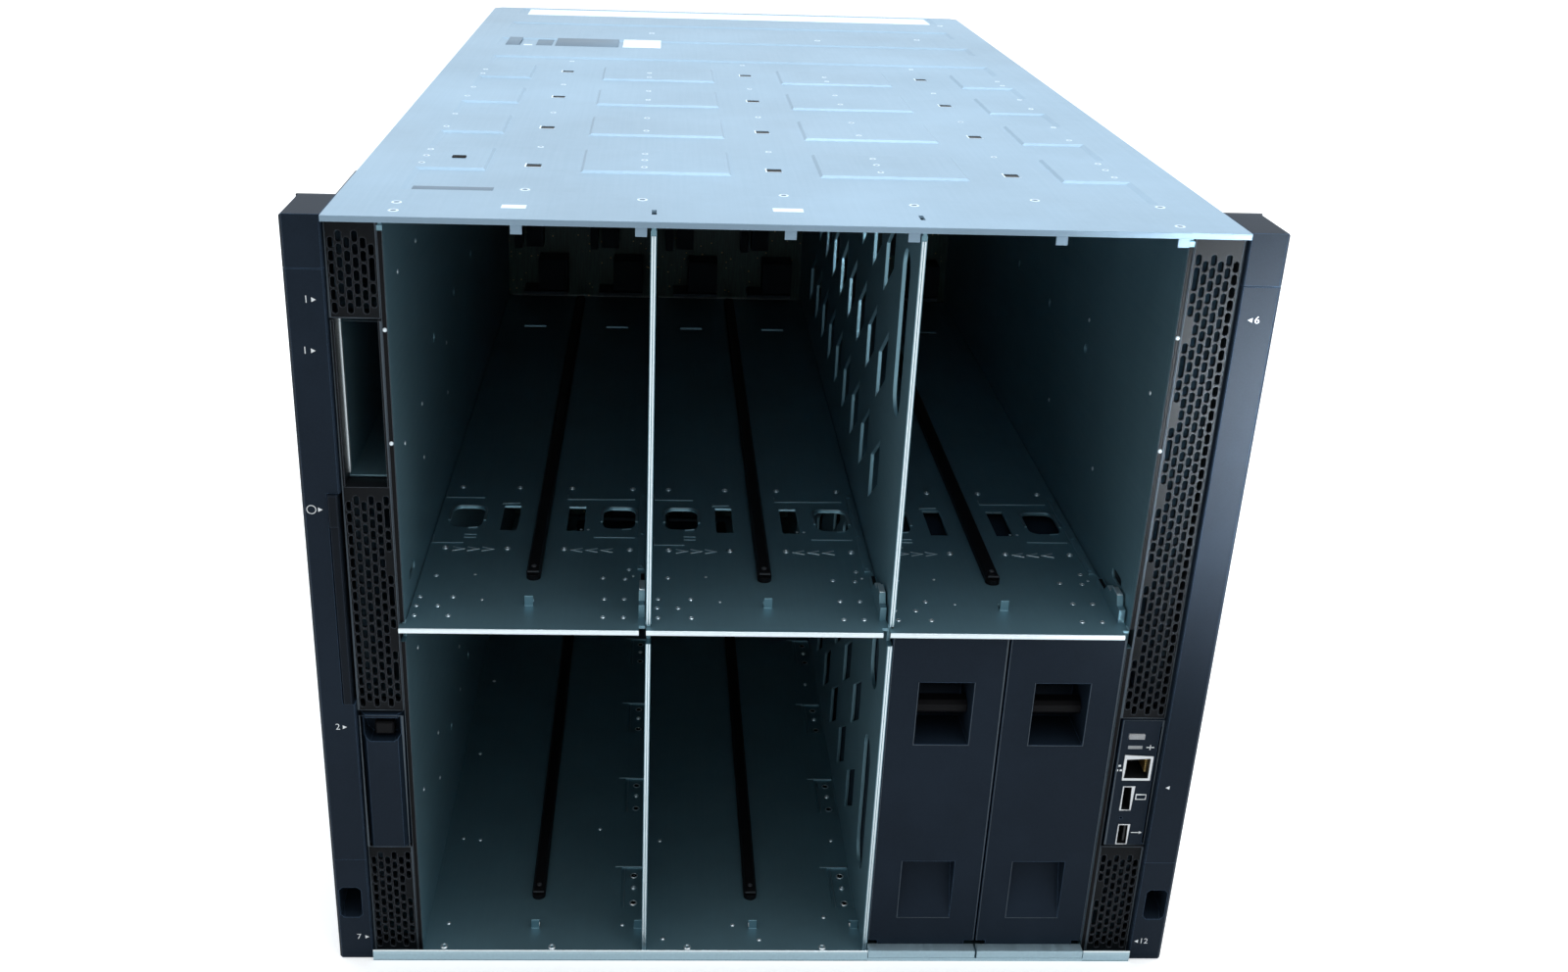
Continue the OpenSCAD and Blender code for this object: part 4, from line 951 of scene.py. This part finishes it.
class CHASSIS_OT_panel_details(bpy.types.Operator):
    """Add the socket rims, contacts and marks of the front panel"""

    bl_idname = "chassis.panel_details"
    bl_label = "Front panel details"

    def execute(self, context):
        low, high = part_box("front_panel")
        left = low[0] / MM
        top = high[2] / MM
        face = (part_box("front_ports")[0][1] - FRONT) / MM - 0.02
        stand = ((1, 0, 0), (0, 0, 1))
        rims = Shape()
        for x, drop, w, h, wall in ((12.1, 32, 16.4, 16.2, 1.5), (8.8, 52.3, 6.4, 16.6, 0.7),
                                    (9.6, 77, 6.6, 14, 0.6)):
            a = (w - wall) / 2
            b = (h - wall) / 2
            rims.line([(-a, 0), (-a, b), (a, b), (a, -b), (-a, -b), (-a, 0)],
                      at(left + x, face + 0.1, top - drop), *stand, wall, 0.15)
        rims.piece("socket_rims", "chassis", finish_of("plated"))
        pins = Shape()
        for k in range(8):
            z = top - 32 - 4.4 + k * 1.26
            pins.block((left + 17.2, 9, z), (left + 18.5, 19, z + 0.5), 0.1)
        for k in range(4):
            z = top - 77 - 4.4 + k * 2.5
            pins.block((left + 11.7, 8.5, z), (left + 12.0, 16, z + 1.2), 0.1)
        pins.piece("socket_pins", "chassis", finish_of("gold"))
        panel = (low[1] - FRONT) / MM - 0.05
        marks = Shape()
        marks.line([(-2.2, 0), (2.2, 0)], at(left + 17.5, panel, top - 18.2), *stand, 0.6, 0.06)
        marks.line([(0, -1.6), (0, 1.6)], at(left + 17.5, panel, top - 18.2), *stand, 0.5, 0.06)
        for a, b in ((0, 1.5), (-1.1, -1.5), (1.1, -1.5)):
            marks.line([(a - 0.7, b), (a + 0.7, b)], at(left + 1.9, panel, top - 32), *stand, 1.2,
                       0.06)
        marks.line([(0, -1.6), (-2.8, -1.6), (-2.8, 1.6), (2.8, 1.6), (2.8, -1.6), (0, -1.6)],
                   at(left + 16.8, panel, top - 51.5), *stand, 0.5, 0.06)
        marks.line([(-3, 0), (2, 0)], at(left + 17.4, panel, top - 76), *stand, 0.5, 0.06)
        marks.prism([(1.6, 1), (1.6, -1), (3.4, 0)], at(left + 17.4, panel, top - 76), *stand,
                    0.06)
        marks.piece("panel_marks", "chassis", finish_of("ink"))
        return {"FINISHED"}


class CHASSIS_OT_numbers(bpy.types.Operator):
    """Print the bay numbers and their triangles on the rack ears"""

    bl_idname = "chassis.numbers"
    bl_label = "Bay numbers"

    def execute(self, context):
        face = (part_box("left_ear")[0][1] - FRONT) / MM - 0.03
        stand = Matrix.Rotation(math.radians(90), 3, "X")
        left = [("1", -231, -227.4, 400), ("1", -233.4, -229.4, 374), ("2", -232, -228.2, 158.3),
                ("7", -229.3, -224.6, 15.4)]
        right = [("6", 231.7, 228.2, 398.2), ("12", 229.4, 225.0, 13.2)]
        ink = finish_of("ink")
        for k, (digits, x, _, z) in enumerate(left + right):
            number("bay_number_%d" % (k + 1), digits, at(x, face, z), 5.4, stand, "chassis",
                   ink)
        marks = Shape()
        for way, spots in ((1, [(s[2], s[3]) for s in left] + [(-232.1, 288.5)]),
                           (-1, [(s[2], s[3]) for s in right] + [(227.8, 122.0)])):
            for x, z in spots:
                marks.prism([(-1.1 * way, 1.2), (-1.1 * way, -1.2), (1.2 * way, 0)][::way],
                            at(x, face, z), (1, 0, 0), (0, 0, 1), 0.06)
        marks.ring(at(-236.6, face, 288.5), (0, -1, 0), 2.1, 2.5, 0.06)
        marks.piece("bay_triangles", "chassis", ink)
        return {"FINISHED"}


class CHASSIS_OT_stage(bpy.types.Operator):
    """Set up the floor, the lights and the camera"""

    bl_idname = "chassis.stage"
    bl_label = "Stage"

    def execute(self, context):
        s = context.scene.chassis_stage
        scene = context.scene
        scene.view_settings.view_transform = "Standard"
        data = bpy.data.meshes.new("floor")
        data.from_pydata([(-9, -6, 0), (9, -6, 0), (9, 14, 0), (-9, 14, 0)], [],
                         [(0, 1, 2, 3)])
        floor = bpy.data.objects.new("floor", data)
        scene.collection.objects.link(floor)
        pale = Tree("floor")
        speck = pale.noise(30.0, 3.0)
        pale.set(Base_Color=pale.mix(speck, (0.90, 0.90, 0.90, 1), (0.93, 0.93, 0.93, 1)))
        pale.set(Roughness=0.8, Emission_Color=(1, 1, 1, 1))
        seen = pale.nodes.new("ShaderNodeLightPath").outputs["Is Camera Ray"]
        pale.set(Emission_Strength=pale.math("MULTIPLY", seen, 0.35))
        data.materials.append(pale.material)
        self.dome(s.fill)
        self.lamp("key_light", s.key, (0.3, -0.2, 2.0), (0.0, 0.0, 0.3), 1.4)
        self.lamp("top_light", s.key, (0, 0.9, 2.6), (0, 0.5, 0.4), 2.4)
        self.lamp("ear_light", s.glance, (0.55, FRONT - 0.9, 0.04), (0.33, FRONT, 0.32), 0.15, 18)
        lens = bpy.data.cameras.new("camera")
        lens.sensor_width = 36.0
        lens.lens = s.lens
        lens.shift_x = CAMERA["shift"][0]
        lens.shift_y = CAMERA["shift"][1]
        lens.clip_end = 50
        view = bpy.data.objects.new("camera", lens)
        pitch, roll, yaw = (math.radians(a) for a in CAMERA["turn"])
        view.matrix_world = (Matrix.Translation(at(*CAMERA["place"]))
                             @ Matrix.Rotation(yaw, 4, "Z")
                             @ Matrix.Rotation(math.radians(90) - pitch, 4, "X")
                             @ Matrix.Rotation(roll, 4, "Z"))
        scene.collection.objects.link(view)
        scene.camera = view
        return {"FINISHED"}

    def dome(self, strength):
        """Soft light from above and behind that fades towards the front."""
        world = bpy.data.worlds.new("studio")
        world.use_nodes = True
        nodes = world.node_tree.nodes
        links = world.node_tree.links
        way = nodes.new("ShaderNodeTexCoord").outputs["Generated"]
        lean = nodes.new("ShaderNodeVectorMath")
        lean.operation = "DOT_PRODUCT"
        lean.inputs[1].default_value = (0.1, 0.42, 0.9)
        links.new(way, lean.inputs[0])
        fade = nodes.new("ShaderNodeMapRange")
        fade.inputs["From Min"].default_value = -0.25
        fade.inputs["From Max"].default_value = 0.6
        fade.inputs["To Min"].default_value = 0.10
        fade.inputs["To Max"].default_value = 1.0
        links.new(lean.outputs["Value"], fade.inputs["Value"])
        glow = nodes.new("ShaderNodeMath")
        glow.operation = "MULTIPLY"
        glow.inputs[1].default_value = strength
        links.new(fade.outputs[0], glow.inputs[0])
        path = nodes.new("ShaderNodeLightPath")
        seen = glow.outputs[0]
        for kind in ("Is Camera Ray", "Is Glossy Ray", "Is Transmission Ray"):
            larger = nodes.new("ShaderNodeMath")
            larger.operation = "MAXIMUM"
            links.new(path.outputs[kind], larger.inputs[0])
            links.new(seen, larger.inputs[1])
            seen = larger.outputs[0]
        links.new(seen, nodes["Background"].inputs[1])
        nodes["Background"].inputs[0].default_value = (0.96, 0.985, 1, 1)
        bpy.context.scene.world = world

    def lamp(self, name, power, place, target, size, spread=180):
        data = bpy.data.lights.new(name, "AREA")
        data.energy = power
        data.size = size
        data.spread = math.radians(spread)
        data.color = (0.86, 0.94, 1.0)
        lamp = bpy.data.objects.new(name, data)
        lamp.location = place
        way = Vector(target) - Vector(place)
        lamp.rotation_euler = way.to_track_quat("-Z", "Y").to_euler()
        bpy.context.scene.collection.objects.link(lamp)


CAMERA = {"place": (-63.0, -687.8, 621.8), "turn": (22.51, 1.785, -2.396),
          "shift": (0.0454, -0.0359)}

OPERATORS = (CHASSIS_OT_materials, CHASSIS_OT_cover_details, CHASSIS_OT_front_edges,
             CHASSIS_OT_shelf_details, CHASSIS_OT_floor_details, CHASSIS_OT_midplane_details,
             CHASSIS_OT_outlines, CHASSIS_OT_panel_details, CHASSIS_OT_numbers, CHASSIS_OT_stage)
SETTINGS = (("chassis_finish", ChassisFinish), ("chassis_fixings", ChassisFixings),
            ("chassis_stage", ChassisStage))


class CHASSIS_PT_panel(bpy.types.Panel):
    """The settings and the steps, in order"""

    bl_idname = "CHASSIS_PT_panel"
    bl_label = "Blade chassis"
    bl_space_type = "VIEW_3D"
    bl_region_type = "UI"
    bl_category = "Chassis"

    def draw(self, context):
        for name, group in SETTINGS:
            box = self.layout.box()
            for key in group.__annotations__:
                box.prop(getattr(context.scene, name), key)
        for operator in OPERATORS:
            self.layout.operator(operator.bl_idname)


def register():
    for _, group in SETTINGS:
        bpy.utils.register_class(group)
    for name, group in SETTINGS:
        setattr(bpy.types.Scene, name, bpy.props.PointerProperty(type=group))
    for operator in OPERATORS:
        bpy.utils.register_class(operator)
    bpy.utils.register_class(CHASSIS_PT_panel)


def unregister():
    bpy.utils.unregister_class(CHASSIS_PT_panel)
    for operator in reversed(OPERATORS):
        bpy.utils.unregister_class(operator)
    for name, group in reversed(SETTINGS):
        delattr(bpy.types.Scene, name)
        bpy.utils.unregister_class(group)


def main():
    register()
    for operator in OPERATORS:
        group, name = operator.bl_idname.split(".")
        getattr(getattr(bpy.ops, group), name)()


if __name__ == "__main__":
    main()
